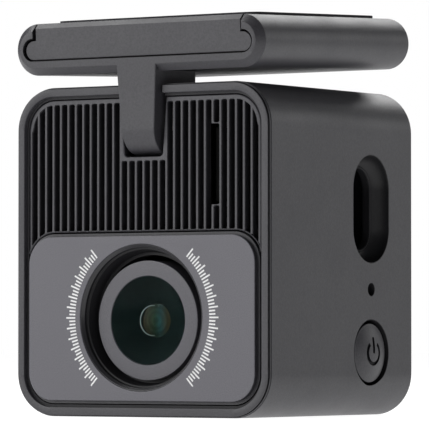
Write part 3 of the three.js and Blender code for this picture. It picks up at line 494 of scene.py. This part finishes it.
LOOK = {
    "casing_plastic": moulded("casing_plastic", 0.042, 0.44),
    "grille_plastic": moulded("grille_plastic", 0.05, 0.46),
    "plate_satin": moulded("plate_satin", 0.11, 0.4, 0.12, 0.0012),
    "ring_satin": moulded("ring_satin", 0.085, 0.36, 0.15, 0.0012),
    "inner_black": moulded("inner_black", 0.01, 0.6, Specular_IOR_Level=0.15),
    # Painted shade: near-black for the slots' walls and the shelf behind the bezel, which are moulded
    # plastic in shade
    "painted_shade_black": moulded("painted_shade_black", 0.02, 0.5, Specular_IOR_Level=0.3),
    # Glossier than well_black, and lighter as a painted sheen on the well's chamfer
    "painted_sheen_lip": moulded("painted_sheen_lip", 0.022, 0.3, 0.15, 0.002),
    "well_black": moulded("well_black", 0.012, 0.5, 0.15, 0.002, Specular_IOR_Level=0.3),
    "black_cloth": fabric_black("black_cloth"),
    "coated_glass": glass("coated_glass", (0.85, 0.97, 0.95), mirror=0.1, ior=1.05),
    "chip_black": moulded("chip_black", 0.012, 0.5, 0.1, hue=NEUTRAL),
    "circuit_board": board_green("circuit_board"),
    "steel": metal("steel", (0.56, 0.57, 0.59), 0.3),
    "aluminium": metal("aluminium", (0.62, 0.62, 0.64), 0.38),
    "copper": metal("copper", (0.7, 0.36, 0.2), 0.35),
    "ribbon_film": moulded("ribbon_film", 0.2, 0.4, hue=AMBER),
    "capacitor_sleeve": moulded("capacitor_sleeve", 0.03, 0.3, hue=NAVY),
    "card_plastic": moulded("card_plastic", 0.003, 0.6, 0.12, hue=NEUTRAL, Specular_IOR_Level=0.08),
    "nylon": moulded("nylon", 0.6, 0.5, hue=WARM),
    "clear_plastic": glass("clear_plastic", (0.95, 0.97, 0.97), 0.05, 1.49),
    "rubber": moulded("rubber", 0.012, 0.8, hue=NEUTRAL),
    "soft_foam": moulded("soft_foam", 0.05, 0.9, 0.4, 0.03),
    "adhesive_foam": moulded("adhesive_foam", 0.03, 0.85, 0.35, 0.03),
    "print_white": moulded("print_white", 0.8, 0.55, 0.1, 0.001, hue=NEUTRAL),
    # Painted shade: near-black for the scoop round the power socket
    "painted_recess_shade": moulded("painted_recess_shade", 0.012, 0.42, Specular_IOR_Level=0.3),
    "barrel_green": smooth("barrel_green", (0.0034, 0.0086, 0.0088), 0.6, 0.08),
    # Painted reflections of the inner lens's coating
    "painted_lens_reflection": painted_reflections("painted_lens_reflection"),
    # Painted highlight: the pale arc on the left of the inner lens
    "painted_highlight_pale": moulded("painted_highlight_pale", 0.8, 0.35, 0.1, 0.001, hue=NEUTRAL),
}

# ---------------------------------------------------------------- casing

SEAM = 0.69  # the shell starts this far behind the bezel's face
BODY_R = 6.5
WALL = 1.5
PANEL_R = 4.7
PLATE_R = 4.15
PLATE_GAP = 0.65  # between the lens plate and the grille panel


def body_loop(by):
    """The body's outline, drawn in by a distance."""
    low, high = SHELL_LOW, SHELL_HIGH
    return round_rect(low.x + by, low.z + by, high.x - by, high.z - by, BODY_R - by, 24)


def port_cutter():
    """Recess round the power socket: a scoop with a soft outer edge, narrowing to the opening. The scoop
    and the opening are painted near-black as shade.
    """
    half_y, half_z, flare, depth, lip, steps = 3.2, 6.25, 1.95, 2.3, 0.16, 12
    side = SHELL_HIGH.x
    floor_x = side - depth
    loop = upright_stadium(SOCKET.y, SOCKET.z, half_y, half_z, 28)
    levels = [(0, side - 6), (0, floor_x - 0.12), (-0.05, floor_x - 0.02), (-lip, floor_x + 0.02)]
    for i in range(1, steps):
        t = math.pi / 2 * i / steps
        levels.append((-lip - (flare - lip) * math.sin(t), side - depth * math.cos(t) - 0.1))
    levels += [(-flare, side - 0.1), (-flare - 0.03, side - 0.03)]
    levels += [(-flare - 0.12, side), (-flare - 0.5, side + 0.3)]
    return make("port_cutter", [prism(loop, levels, axis="X")], LOOK["painted_recess_shade"])


def round_hole_cutter(name, y, z, radius, soft, depth):
    """Round hole in the right side, its rim softened. Its wall and rim are painted black as shade."""
    side = SHELL_HIGH.x
    loop = circle(y, z, radius, 96)
    levels = [(0, side - depth), (0, side - soft), (-soft * 0.3, side - soft * 0.3)]
    levels += [(-soft, side), (-soft - 0.5, side + 0.5)]
    return make(name, [prism(loop, levels, axis="X")], LOOK["inner_black"])


def box_part(low, high):
    """Plain box, used to cut with and to join on."""
    loop = [(low[0], low[2]), (high[0], low[2]), (high[0], high[2]), (low[0], high[2])]
    return prism(loop, [(0, low[1]), (0, high[1])])


def casing_shell():
    front, back = from_face(SEAM), SHELL_HIGH.y
    levels = [(0.1, front), (0.03, front + 0.03), (0, front + 0.1)]
    levels += [(0, back - 0.3), (0.04, back - 0.15), (0.12, back - 0.04), (0.25, back)]
    solid = prism(body_loop(0), levels, [body_loop(WALL)])
    shell = make("casing_shell", [solid], LOOK["casing_plastic"])
    # Thicker wall behind the scoop
    boss_y, boss_z = 6.2, 9.2
    boss_low = (SHELL_HIGH.x - 3.5, SOCKET.y - boss_y, SOCKET.z - boss_z)
    boss_high = (SHELL_HIGH.x - 0.6, SOCKET.y + boss_y, SOCKET.z + boss_z)
    boss = make("boss", [box_part(boss_low, boss_high)], None)
    boolean(shell, [boss], "UNION")
    # Opening in the top for the bracket's arm; its walls are painted black as shade
    well_half, well_back = 4.2, PIVOT.y + 6.2
    well_low = (-well_half, front - 1, SHELL_HIGH.z - 2.4)
    well_high = (well_half, well_back, SHELL_HIGH.z + 1)
    well = make("well", [box_part(well_low, well_high)], LOOK["inner_black"])
    cutters = [
        well,
        port_cutter(),
        round_hole_cutter("mic", MIC.y, MIC.z, 0.95, 0.08, 4),
        round_hole_cutter("button", BUTTON.y, BUTTON.z, 5.0, 0.12, 6),
    ]
    boolean(shell, cutters, "DIFFERENCE")
    return settle(shell, "camera", "casing_plastic", "main_shell")


def bezel_ring():
    """Thin face ring, a groove behind its edge painted black as shade, a shelf behind the ring painted
    darker as shade, and a flush strip up to the seam.
    """
    edge, rim_width, groove, ledge = 0.24, 1.16, 0.5, 1.58  # across the ring
    lip, strip, shelf = 0.12, 0.38, 0.7  # behind its face
    flush = 0.1 - edge
    loop = body_loop(edge)
    f = from_face
    section = [
        (ledge, f(SEAM + 0.5)),
        (ledge, f(shelf)),
        (rim_width, f(shelf)),
        (rim_width, f(0.14)),
        (rim_width - 0.04, f(0.04)),
        (rim_width - 0.14, f(0)),
        (0.1, f(0)),
        (0.03, f(0.02)),
        (0, f(0.07)),
        (0, f(lip)),
        (groove, f(lip)),
        (groove, f(strip)),
        (flush + 0.05, f(strip)),
        (flush, f(strip + 0.05)),
        (flush, f(SEAM - 0.07)),
        (flush + 0.05, f(SEAM - 0.02)),
        (groove + 0.1, f(SEAM - 0.02)),
        (groove + 0.1, f(SEAM + 0.5)),
    ]
    ring = make("bezel_ring", [sweep(loop, section)], LOOK["casing_plastic"])
    half = 3.95
    gap = make("gap", [box_part((-half, f(-1), SHELL_HIGH.z - 3), (half, f(2), SHELL_HIGH.z + 1))], None)
    boolean(ring, [gap], "DIFFERENCE")

    def painted_groove_shade(middle, normal):
        return f(lip) < middle.y < f(strip + 0.01)

    def painted_shelf_shade(middle, normal):
        return normal.y < -0.9 and middle.y > f(shelf - 0.02)

    # Painted shade: the groove behind the edge is painted black and the shelf behind the ring a darker
    # black
    paint(ring, LOOK["inner_black"], painted_groove_shade)
    paint(ring, LOOK["painted_shade_black"], painted_shelf_shade)
    return settle(ring, "camera", "casing_plastic", "front_bezel")


def rear_cover():
    """Inset back lid with sound slots and a light hole, and a shadow gap round it."""
    gap, light_r = 0.22, 0.8
    rows, pitch, reach, slot_half = 5, 2.6, 7.0, 0.5
    holes = [circle(LIGHT_PIPE.x, LIGHT_PIPE.z, light_r, 32)]
    for row in range(rows):
        offset = (row - (rows - 1) / 2) * pitch
        half = math.sqrt(reach**2 - offset**2)
        holes.append(flat_stadium(SPEAKER.x, SPEAKER.z + offset, half, slot_half, 8))
    levels = rim(0.2, COVER_LOW.y, COVER_HIGH.y - 0.1)
    solid = prism(body_loop(WALL + gap), levels, holes)
    cover = make("rear_lid", [solid], LOOK["casing_plastic"])
    return settle(cover, "camera", "casing_plastic", "rear_cover")


# ---------------------------------------------------------------- grille

SLOTS = 30
PITCH = 1.382
SLOT_HALF = 0.48
SLOT_SOFT = 0.26  # radius of a slot's corners
SLOT_TOP = 47.35
SLOT_FOOT = 28.1
SLOT_MARGIN = 0.68  # kept between a slot and the panel's round corner
NOTCH_REACH = 3.6  # slots whose middle is nearer than this end under the arm's notch
NOTCH_SLOT_TOP = 38.55
CARD_SLOTS = (23, 24)
CARD_FOOT, CARD_TOP = 31.77, 43.78


def slot_x(i):
    return (i - (SLOTS - 1) / 2) * PITCH


def soft_end(x, left, right):
    """How far a slot's end drops at x by its softened corners."""
    into = SLOT_SOFT - min(x - left, right - x)
    return SLOT_SOFT - math.sqrt(max(SLOT_SOFT**2 - into * into, 0)) if into > 0 else 0


def slot_top(x, left, right):
    """Level top, lower under the arm's notch and along the panel's round corners."""
    soft = soft_end(x, left, right)
    if abs(left + right) / 2 < NOTCH_REACH:
        return NOTCH_SLOT_TOP - soft
    beyond, r = abs(x) - (PANEL_HIGH.x - PANEL_R), PANEL_R - SLOT_MARGIN
    if beyond <= 0:
        return SLOT_TOP - soft
    limit = PANEL_HIGH.z - PANEL_R + math.sqrt(max(r * r - beyond * beyond, 0))
    return min(SLOT_TOP - soft, limit)


def slot_foot(x, left, right):
    """Level foot, lower at the sides along the round corners of the lens plate."""
    centre_z = PLATE_HIGH.z - PLATE_R
    beyond, r = max(abs(x) - (PLATE_HIGH.x - PLATE_R), 0), SLOT_FOOT - centre_z
    return centre_z + math.sqrt(r * r - beyond * beyond) + soft_end(x, left, right)


def across(left, right, steps=10):
    """Places from left to right, closer together near both ends."""
    middle, half = (left + right) / 2, (right - left) / 2
    return [middle - half * math.cos(math.pi * i / steps) for i in range(steps + 1)]


def slot_sides(i):
    """Left and right side of a slot, the outermost ones cut short by the panel's edge."""
    reach = PANEL_HIGH.x - 0.45
    return max(slot_x(i) - SLOT_HALF, -reach), min(slot_x(i) + SLOT_HALF, reach)


def grille_slot(i, bottom=None, top=None):
    """Outline of a slot; a bottom or top given is a level end there."""
    left, right = slot_sides(i)
    low, high = [], []
    for x in across(left, right):
        soft = soft_end(x, left, right)
        low.append((x, slot_foot(x, left, right) if bottom is None else bottom + soft))
        high.append((x, slot_top(x, left, right) if top is None else top - soft))
    return low + high[::-1]


def card_slots():
    """Two slots joined over the memory card's height, with thin bridges above and below."""
    low, high = CARD_FOOT, CARD_TOP
    inner, outer = CARD_SLOTS
    left, rib = slot_sides(inner)
    right = slot_sides(outer)[1]
    soft, bridge = 0.3, 0.2
    joined = (
        [(x, slot_foot(x, left, rib)) for x in across(left, rib)]
        + [(rib, low)]
        + arc(right - soft, low + soft, soft, -90, 0, 5)
        + arc(right - soft, high - soft, soft, 0, 90, 5)
        + [(rib, high)]
        + [(x, slot_top(x, left, rib)) for x in reversed(across(left, rib))]
    )
    return [joined, grille_slot(outer, top=low - bridge), grille_slot(outer, bottom=high + bridge)]


def panel_outline():
    """Round top corners, a tapered notch for the arm, and a lower edge that runs round the
    lens plate's top corners at an even gap, down to a tip on each side."""
    half, top, tip = PANEL_HIGH.x, PANEL_HIGH.z, 15
    cx, cz, r = PLATE_HIGH.x - PLATE_R, PLATE_HIGH.z - PLATE_R, PLATE_R + PLATE_GAP
    tip_z = cz + r * math.sin(math.radians(tip)) + 0.3
    notch_top, notch_foot, notch_z, notch_r = 4.1, 3.45, 39.15, 0.6
    right = arc(cx, cz, r, 90, tip, 16) + [(half, tip_z)]
    right += arc(half - PANEL_R, top - PANEL_R, PANEL_R, 0, 90, 16) + [(notch_top, top)]
    right += arc(notch_foot - notch_r, notch_z + notch_r, notch_r, 0, -90, 6)
    return right + [(-x, z) for x, z in reversed(right)]


def grille_front():
    holes = [grille_slot(i) for i in range(SLOTS) if i not in CARD_SLOTS]
    holes += card_slots()
    levels = rim(0.22, PANEL_LOW.y, PANEL_HIGH.y, 4)
    solid = prism(panel_outline(), levels, holes, hole_rim=0.05)
    panel = make("grille_front", [solid], LOOK["grille_plastic"], 30)
    # The slots' walls are painted near-black as shade
    paint(panel, LOOK["painted_shade_black"], lambda middle, normal: abs(normal.y) < 0.12)
    return settle(panel, "camera", "grille_plastic", "grille_panel")


# ---------------------------------------------------------------- lens plate and lens

WELL_R = 11.08


def lens_plate():
    left, right = PLATE_LOW.x - 0.07, PLATE_HIGH.x - 0.18
    loop = round_rect(left, PLATE_LOW.z, right, PLATE_HIGH.z, PLATE_R, 20)
    levels = rim(0.12, PLATE_LOW.y, PLATE_HIGH.y)
    opening = circle(0, MOUTH.z, WELL_R, 128)
    flange = [(0, from_face(0.8)), (0, from_face(1.2))]
    parts = [prism(loop, levels, [opening]), prism(inset(loop, -0.45), flange, [opening])]
    plate = make("lens_plate_face", parts, LOOK["plate_satin"])
    # The flange behind the face is a darker frame round it
    paint(plate, LOOK["casing_plastic"], lambda middle, normal: middle.y > from_face(0.75))
    return settle(plate, "camera", "plate_satin", "lens_plate")


def lens_well():
    """Black well: a chamfered lip, a fine step, then a wall that narrows to the floor."""
    f = from_face
    profile = [
        (9.45, f(3.3)),
        (9.85, f(3.3)),
        (9.95, f(3.2)),
        (10.25, f(1.2)),
        (10.32, f(1.1)),
        (10.5, f(1.08)),
        (10.56, f(1.02)),
        (10.6, f(0.55)),
        (10.95, f(0.12)),
        (11.02, f(0.1)),
        (11.02, f(4.2)),
        (13, f(4.2)),
        (13, f(5.2)),
        (9.45, f(5.2)),
    ]
    well = make("lens_well_wall", [turned(profile, MOUTH, steps=160)], LOOK["well_black"], 20)

    def painted_lip_sheen(middle, normal):
        """The chamfer at the mouth has a slight sheen: it is glossier than the wall, and its lighter
        tone is a painted sheen.
        """
        return math.hypot(middle.x, middle.z - MOUTH.z) > 10.58 and normal.y < -0.3

    paint(well, LOOK["painted_sheen_lip"], painted_lip_sheen)
    return settle(well, "camera", "inner_black", "lens_well")


def lens_ring():
    f = from_face
    front, outer, bore = 1.92, 9.03, 6.7
    profile = [
        (bore, f(3.3)),
        (bore, f(front + 0.08)),
        (bore + 0.08, f(front)),
        (outer - 0.16, f(front)),
        (outer - 0.05, f(front + 0.05)),
        (outer, f(front + 0.16)),
        (outer, f(7)),
        (8, f(7)),
        (8, f(3.3)),
    ]
    ring = make("lens_ring_face", [turned(profile, EYE, steps=160)], LOOK["ring_satin"])
    return settle(ring, "camera", "ring_satin", "lens_ring")


def dome(radius, apex, edge, steps=24):
    """Shallow arc from the axis to the rim."""
    return [(radius * i / steps, apex + (edge - apex) * (i / steps) ** 2) for i in range(steps + 1)]


def front_glass():
    """Thin domed cover of clear coated glass."""
    f = from_face
    front = dome(6.6, f(1.5), f(1.94))
    back = list(reversed(dome(6.5, f(1.7), f(2.0))))
    solid = turned(front + [(6.66, f(1.97))] + back, EYE, steps=128)
    lens = make("front_glass", [solid], LOOK["coated_glass"])
    return settle(lens, "camera", "coated_glass", "front_lens")


def lens_bowl():
    """Dark coated bowl behind the front glass, with the seat of the inner lens in its middle."""
    f = from_face
    mouth, seat, near, far = 6.68, 2.55, 2.05, 4.3
    steps = 16
    profile = []
    for i in range(steps + 1):
        t = i / steps
        profile.append((mouth + (seat - mouth) * t, f(near + (far - near) * t**1.3)))
    profile += [(seat, f(far + 0.1)), (seat, f(5.6)), (mouth, f(5.6))]
    bowl = make("lens_bowl", [turned(profile, EYE, steps=128)], LOOK["barrel_green"], 50)
    return settle(bowl, "camera", "inner_black")


def inner_lens():
    f = from_face
    r, back = 2.5, f(5.1)
    front = dome(r, f(4.15), f(4.4))
    lens = make("inner_lens", [turned(front + [(r, back), (0, back)], EYE)], LOOK["painted_lens_reflection"])
    return settle(lens, "camera", "coated_glass")


def painted_highlight_arc():
    """Thin pale arc in front of the inner lens, on its left side only, a painted highlight, with a foot
    behind each end.
    """
    f = from_face
    inner, outer, front, back = 2.25, 2.31, 3.28, 3.4
    foot_at, foot_r, foot_end = 2.29, 0.04, 5.2
    sector = ring_sector(EYE.x, EYE.z, inner, outer, 97, 263)
    arc_part = prism(sector, [(0, f(front)), (0, f(back))])
    feet = []
    for angle in (100, 260):
        a = math.radians(angle)
        x, z = EYE.x + foot_at * math.cos(a), EYE.z + foot_at * math.sin(a)
        feet.append(prism(circle(x, z, foot_r, 8), [(0, f(back - 0.02)), (0, f(foot_end))]))
    highlight_arc = make("painted_highlight_arc", [arc_part] + feet, LOOK["painted_highlight_pale"], 20)
    return settle(highlight_arc, "camera", "ring_satin")


def tick_marks():
    """White scale on both sides of the lens, in place of lettering."""
    parts = []
    reach, count, inner, long, short, half_width = 48, 43, 12.15, 1.65, 1.1, 0.125
    sunk, proud, front = 0.03, 0.025, PLATE_LOW.y
    middle = Vector((0.2, MOUTH.z))
    for side in (0, 180):
        for i in range(count):
            angle = math.radians(side - reach + 2 * reach * i / (count - 1))
            length = long if i % 3 == 0 else short
            along = Vector((math.cos(angle), math.sin(angle)))
            aside = Vector((-along.y, along.x)) * half_width
            a, b = middle + along * inner, middle + along * (inner + length)
            loop = [tuple(corner) for corner in (a - aside, b - aside, b + aside, a + aside)]
            parts.append(prism(loop, rim(0.01, front - proud, front + sunk, 1)))
    marks = make("tick_marks", parts, LOOK["print_white"])
    return settle(marks, "camera", "plate_satin")


# ---------------------------------------------------------------- windscreen bracket

# Sizes before the resting tilt, as they lie about the hinge's axis
CHAMFER = 1.1
SLAB_FRONT = PIVOT.y - 5.5
SLAB_BACK = PIVOT.y + 37.9
SLAB_FOOT = PIVOT.z + 7.2
SLAB_TOP = PIVOT.z + 15.1
SLAB_HALF = 22.55
BULB_FOOT = PIVOT.z + 9.55
BULB_TOP = PIVOT.z + 12.5
BULB_HALF = 20.45
NECK_HALF = 18.6
CHANNEL_BACK = PIVOT.y + 35.4
ARM_BACK_R = 5.5
ARM_TOE_R = 4.2
PIN_BORE_R = 1.08
PLATE_RECESS = 0.35  # the slide plate's front lies this far behind the bracket's


def slab():
    """The bracket's flat body: full-round sides, slanted front and back edges."""
    loop = flat_stadium(0, (SLAB_FOOT + SLAB_TOP) / 2, SLAB_HALF, (SLAB_TOP - SLAB_FOOT) / 2, 32)
    front, back = SLAB_FRONT, SLAB_BACK
    levels = [(CHAMFER + 0.06, front), (CHAMFER - 0.03, front + 0.03), (0.04, front + CHAMFER - 0.05)]
    levels += [(0, front + CHAMFER + 0.06), (0, back - CHAMFER - 0.06), (0.04, back - CHAMFER + 0.05)]
    levels += [(CHAMFER - 0.03, back - 0.03), (CHAMFER + 0.06, back)]
    return make("bracket_body", [prism(loop, levels)], LOOK["casing_plastic"])


def dovetail_loop(beside, below, top):
    """Round-edged bulb below, narrower neck above, with clearances beside and below."""
    low, high = BULB_FOOT - below, BULB_TOP + beside
    half, neck = BULB_HALF + beside, NECK_HALF + beside
    r = (high - low) / 2
    right = arc(half - r, low + r, r, -90, 90, 16) + [(neck, high), (neck, top)]
    return right + [(-x, z) for x, z in reversed(right)]


def channel_cutter(beside, below):
    levels = [(-0.3, SLAB_FRONT - 0.22), (-0.08, SLAB_FRONT), (0, SLAB_FRONT + 0.08)]
    levels.append((0, CHANNEL_BACK))
    solid = prism(dovetail_loop(beside, below, SLAB_TOP + 1), levels)
    # The channel's walls and mouth are painted black as shade in the gaps round the slide plate
    return make("channel", [solid], LOOK["inner_black"])


def arm():
    """Tapered arm, its lower end round in front and behind."""
    y, z = PIVOT.y, PIVOT.z
    foot, top, tip_half, top_half = z - ARM_BACK_R, SLAB_FOOT + 1.7, 2.75, 3.62
    toe_y = SLAB_FRONT + ARM_TOE_R
    loop = [(SLAB_FRONT, top)] + arc(toe_y, foot + ARM_TOE_R, ARM_TOE_R, 180, 270, 24)
    loop += arc(y, z, ARM_BACK_R, 270, 360, 24) + [(y + ARM_BACK_R, top)]
    verts, faces = prism(loop, rim(0.2, -top_half, top_half), axis="X")
    widen = (top_half - tip_half) / (top - foot)
    tapered = [(x * (tip_half + widen * (z - foot)) / top_half, y, z) for x, y, z in verts]
    return make("arm", [(tapered, faces)], None)


def bracket():
    body = slab()
    boolean(body, [arm()], "UNION")
    bore = prism(circle(PIVOT.y, PIVOT.z, PIN_BORE_R, 32), [(0, -6), (0, 6)], axis="X")
    cutters = [channel_cutter(beside=0.28, below=0.13), make("bore", [bore], None)]
    boolean(body, cutters, "DIFFERENCE")
    tilt_back(body)
    return settle(body, "bracket", "casing_plastic", "mount_bracket")


def slide_plate():
    """Plate that fills the channel, its front top edge slanted in line with the bracket's."""
    front = SLAB_FRONT + PLATE_RECESS
    levels = [(0.1, front), (0.03, front + 0.03), (0, front + 0.1), (0, CHANNEL_BACK - 0.3)]
    solid = prism(dovetail_loop(0, 0, SLAB_TOP), levels)
    plate = make("slide_plate_body", [solid], LOOK["casing_plastic"])
    reach, past = CHAMFER - PLATE_RECESS, 1
    wedge = [
        (front - past, SLAB_TOP - reach - past),
        (front + reach + past, SLAB_TOP + past),
        (front - past, SLAB_TOP + past),
    ]
    cutter = make("wedge", [prism(wedge, [(0, -30), (0, 30)], axis="X")], LOOK["casing_plastic"])
    boolean(plate, [cutter], "DIFFERENCE")
    tilt_back(plate)
    return settle(plate, "windscreen_mount", "casing_plastic", "slide_plate")


def adhesive_pad():
    half, front, back, thick = 18.2, PIVOT.y - 0.5, PIVOT.y + 34.8, 0.45
    loop = round_rect(-half, front, half, back, 2)
    levels = rim(0.06, SLAB_TOP + 0.01, SLAB_TOP + thick)
    pad = make("adhesive_pad_foam", [prism(loop, levels, axis="Z")], LOOK["adhesive_foam"])
    tilt_back(pad)
    return settle(pad, "windscreen_mount", "adhesive_foam", "adhesive_pad")


# ---------------------------------------------------------------- right side


def power_button():
    """Domed cap with a soft rim and a sunk power symbol."""
    crown, r, drop, edge, roundness = BUTTON_CROWN, 4.5, 0.8, 0.15, 2.2
    back, edge_steps, dome_steps = SHELL_HIGH.x - 3.4, 5, 26
    cap = [(0, back), (r, back), (r, crown - drop - edge)]
    for i in range(1, edge_steps):
        t = math.pi / 2 * i / edge_steps
        cap.append((r - edge * (1 - math.cos(t)), crown - drop - edge * (1 - math.sin(t))))
    for i in range(dome_steps + 1):
        radius = (r - edge) * (1 - i / dome_steps)
        cap.append((radius, crown - drop * (radius / (r - edge)) ** roundness))
    button = make("power_button_cap", [turned(cap, BUTTON, axis="X", steps=128)], LOOK["casing_plastic"])
    # The cap's side wall is painted black as shade in the gap round the cap
    paint(button, LOOK["inner_black"], lambda middle, normal: abs(normal.x) < 0.2)
    outer, inner, gap, bar_half, bar_foot, bar_top = 1.95, 1.38, 38, 0.29, -0.1, 2.45
    bar_z, bar_reach = BUTTON.z + (bar_foot + bar_top) / 2, (bar_top - bar_foot) / 2
    levels = [(0, crown - 0.42), (0, crown + 1)]
    loop = ring_sector(BUTTON.y, BUTTON.z, inner, outer, 90 + gap, 450 - gap)
    bar = upright_stadium(BUTTON.y, bar_z, bar_half, bar_reach, 8)
    sunk = [
        make("symbol", [prism(shape, levels, axis="X")], LOOK["inner_black"]) for shape in (loop, bar)
    ]
    boolean(button, sunk, "DIFFERENCE", 40)
    return settle(button, "button", "casing_plastic", "power_button")


for build in (
    casing_shell,
    bezel_ring,
    rear_cover,
    grille_front,
    lens_plate,
    lens_well,
    lens_ring,
    front_glass,
    lens_bowl,
    inner_lens,
    painted_highlight_arc,
    tick_marks,
    bracket,
    slide_plate,
    adhesive_pad,
    power_button,
):
    build()

# ---------------------------------------------------------------- carried-over CAD nodes

SLOT_OF = {entry["node"]: entry["material_slot"] for entry in frame["record"]["subparts"]}
for node, obj in frame["nodes"].items():
    obj.data.materials.clear()
    obj.data.materials.append(LOOK[SLOT_OF[node]])

# ---------------------------------------------------------------- floor, light and camera


def floor():
    """Wide floor that glows almost white, so that it meets the backdrop without a line."""
    radius, thickness = 3000, 4
    solid = prism(circle(0, 0, radius, 96), [(0, -thickness), (0, 0)], axis="Z")
    disc = make("floor", [solid], None)
    f = Finish("floor_paper", 0.9, Emission_Color=(1, 1, 1, 1), Emission_Strength=0.97)
    f.tint(f.noise(40, 2), (0.2, 0.2, 0.202), (0.22, 0.22, 0.222))
    disc.data.materials.append(f.material)


def world():
    """Soft grey room; only the camera sees it as a white backdrop."""
    sky = bpy.data.worlds.new("studio")
    bpy.context.scene.world = sky
    sky.use_nodes = True
    nodes, links = sky.node_tree.nodes, sky.node_tree.links
    room = nodes["Background"]
    room.inputs["Color"].default_value = (0.98, 0.98, 1.0, 1)
    room.inputs["Strength"].default_value = 0.08
    backdrop = nodes.new("ShaderNodeBackground")
    backdrop.inputs["Color"].default_value = (1, 1, 1, 1)
    backdrop.inputs["Strength"].default_value = 1.0
    path = nodes.new("ShaderNodeLightPath")
    mix = nodes.new("ShaderNodeMixShader")
    links.new(path.outputs["Is Camera Ray"], mix.inputs["Fac"])
    links.new(room.outputs["Background"], mix.inputs[1])
    links.new(backdrop.outputs["Background"], mix.inputs[2])
    links.new(mix.outputs["Shader"], nodes["World Output"].inputs["Surface"])


def softbox(name, azimuth, elevation, distance, size, radiance):
    """Area light aimed at the object. Azimuth 0 is in front of it, and 90 at its right side."""
    a, e = math.radians(azimuth), math.radians(elevation)
    aim = Vector((0, 0, 0.03))
    away = Vector((math.sin(a) * math.cos(e), -math.cos(a) * math.cos(e), math.sin(e)))
    light = bpy.data.lights.new(name, "AREA")
    light.shape = "RECTANGLE"
    light.size, light.size_y = size
    light.energy = radiance * math.pi * size[0] * size[1]
    obj = bpy.data.objects.new(name, light)
    obj.location = aim + away * distance
    obj.rotation_euler = away.to_track_quat("Z", "Y").to_euler()
    bpy.context.scene.collection.objects.link(obj)


def camera():
    """Long lens, to the right of the front and a little below the object, looking slightly up at it."""
    azimuth, elevation, distance = math.radians(33.282), math.radians(-1.685), 0.6534
    aim = Vector((0.244, from_face(20.0), 30.832)) * MM
    back = Vector(
        (
            math.sin(azimuth) * math.cos(elevation),
            -math.cos(azimuth) * math.cos(elevation),
            math.sin(elevation),
        )
    )
    data = bpy.data.cameras.new("camera")
    data.sensor_width = 36
    data.lens = 355.2
    data.clip_start, data.clip_end = 0.01, 20
    obj = bpy.data.objects.new("camera", data)
    obj.location = aim + back * distance
    obj.rotation_euler = (-back).to_track_quat("-Z", "Y").to_euler()
    bpy.context.scene.collection.objects.link(obj)
    bpy.context.scene.camera = obj


floor()
world()
softbox("key_box", -40, 22, 1.0, (0.8, 0.7), 3.5)
softbox("brow_box", -90, 56, 0.9, (0.45, 0.45), 4.8)
softbox("top_box", 195, 36, 0.9, (0.55, 0.4), 4.0)
softbox("rear_box", 149, 14, 1.2, (0.45, 0.35), 2.2)
camera()
bpy.context.scene.view_settings.view_transform = "Standard"
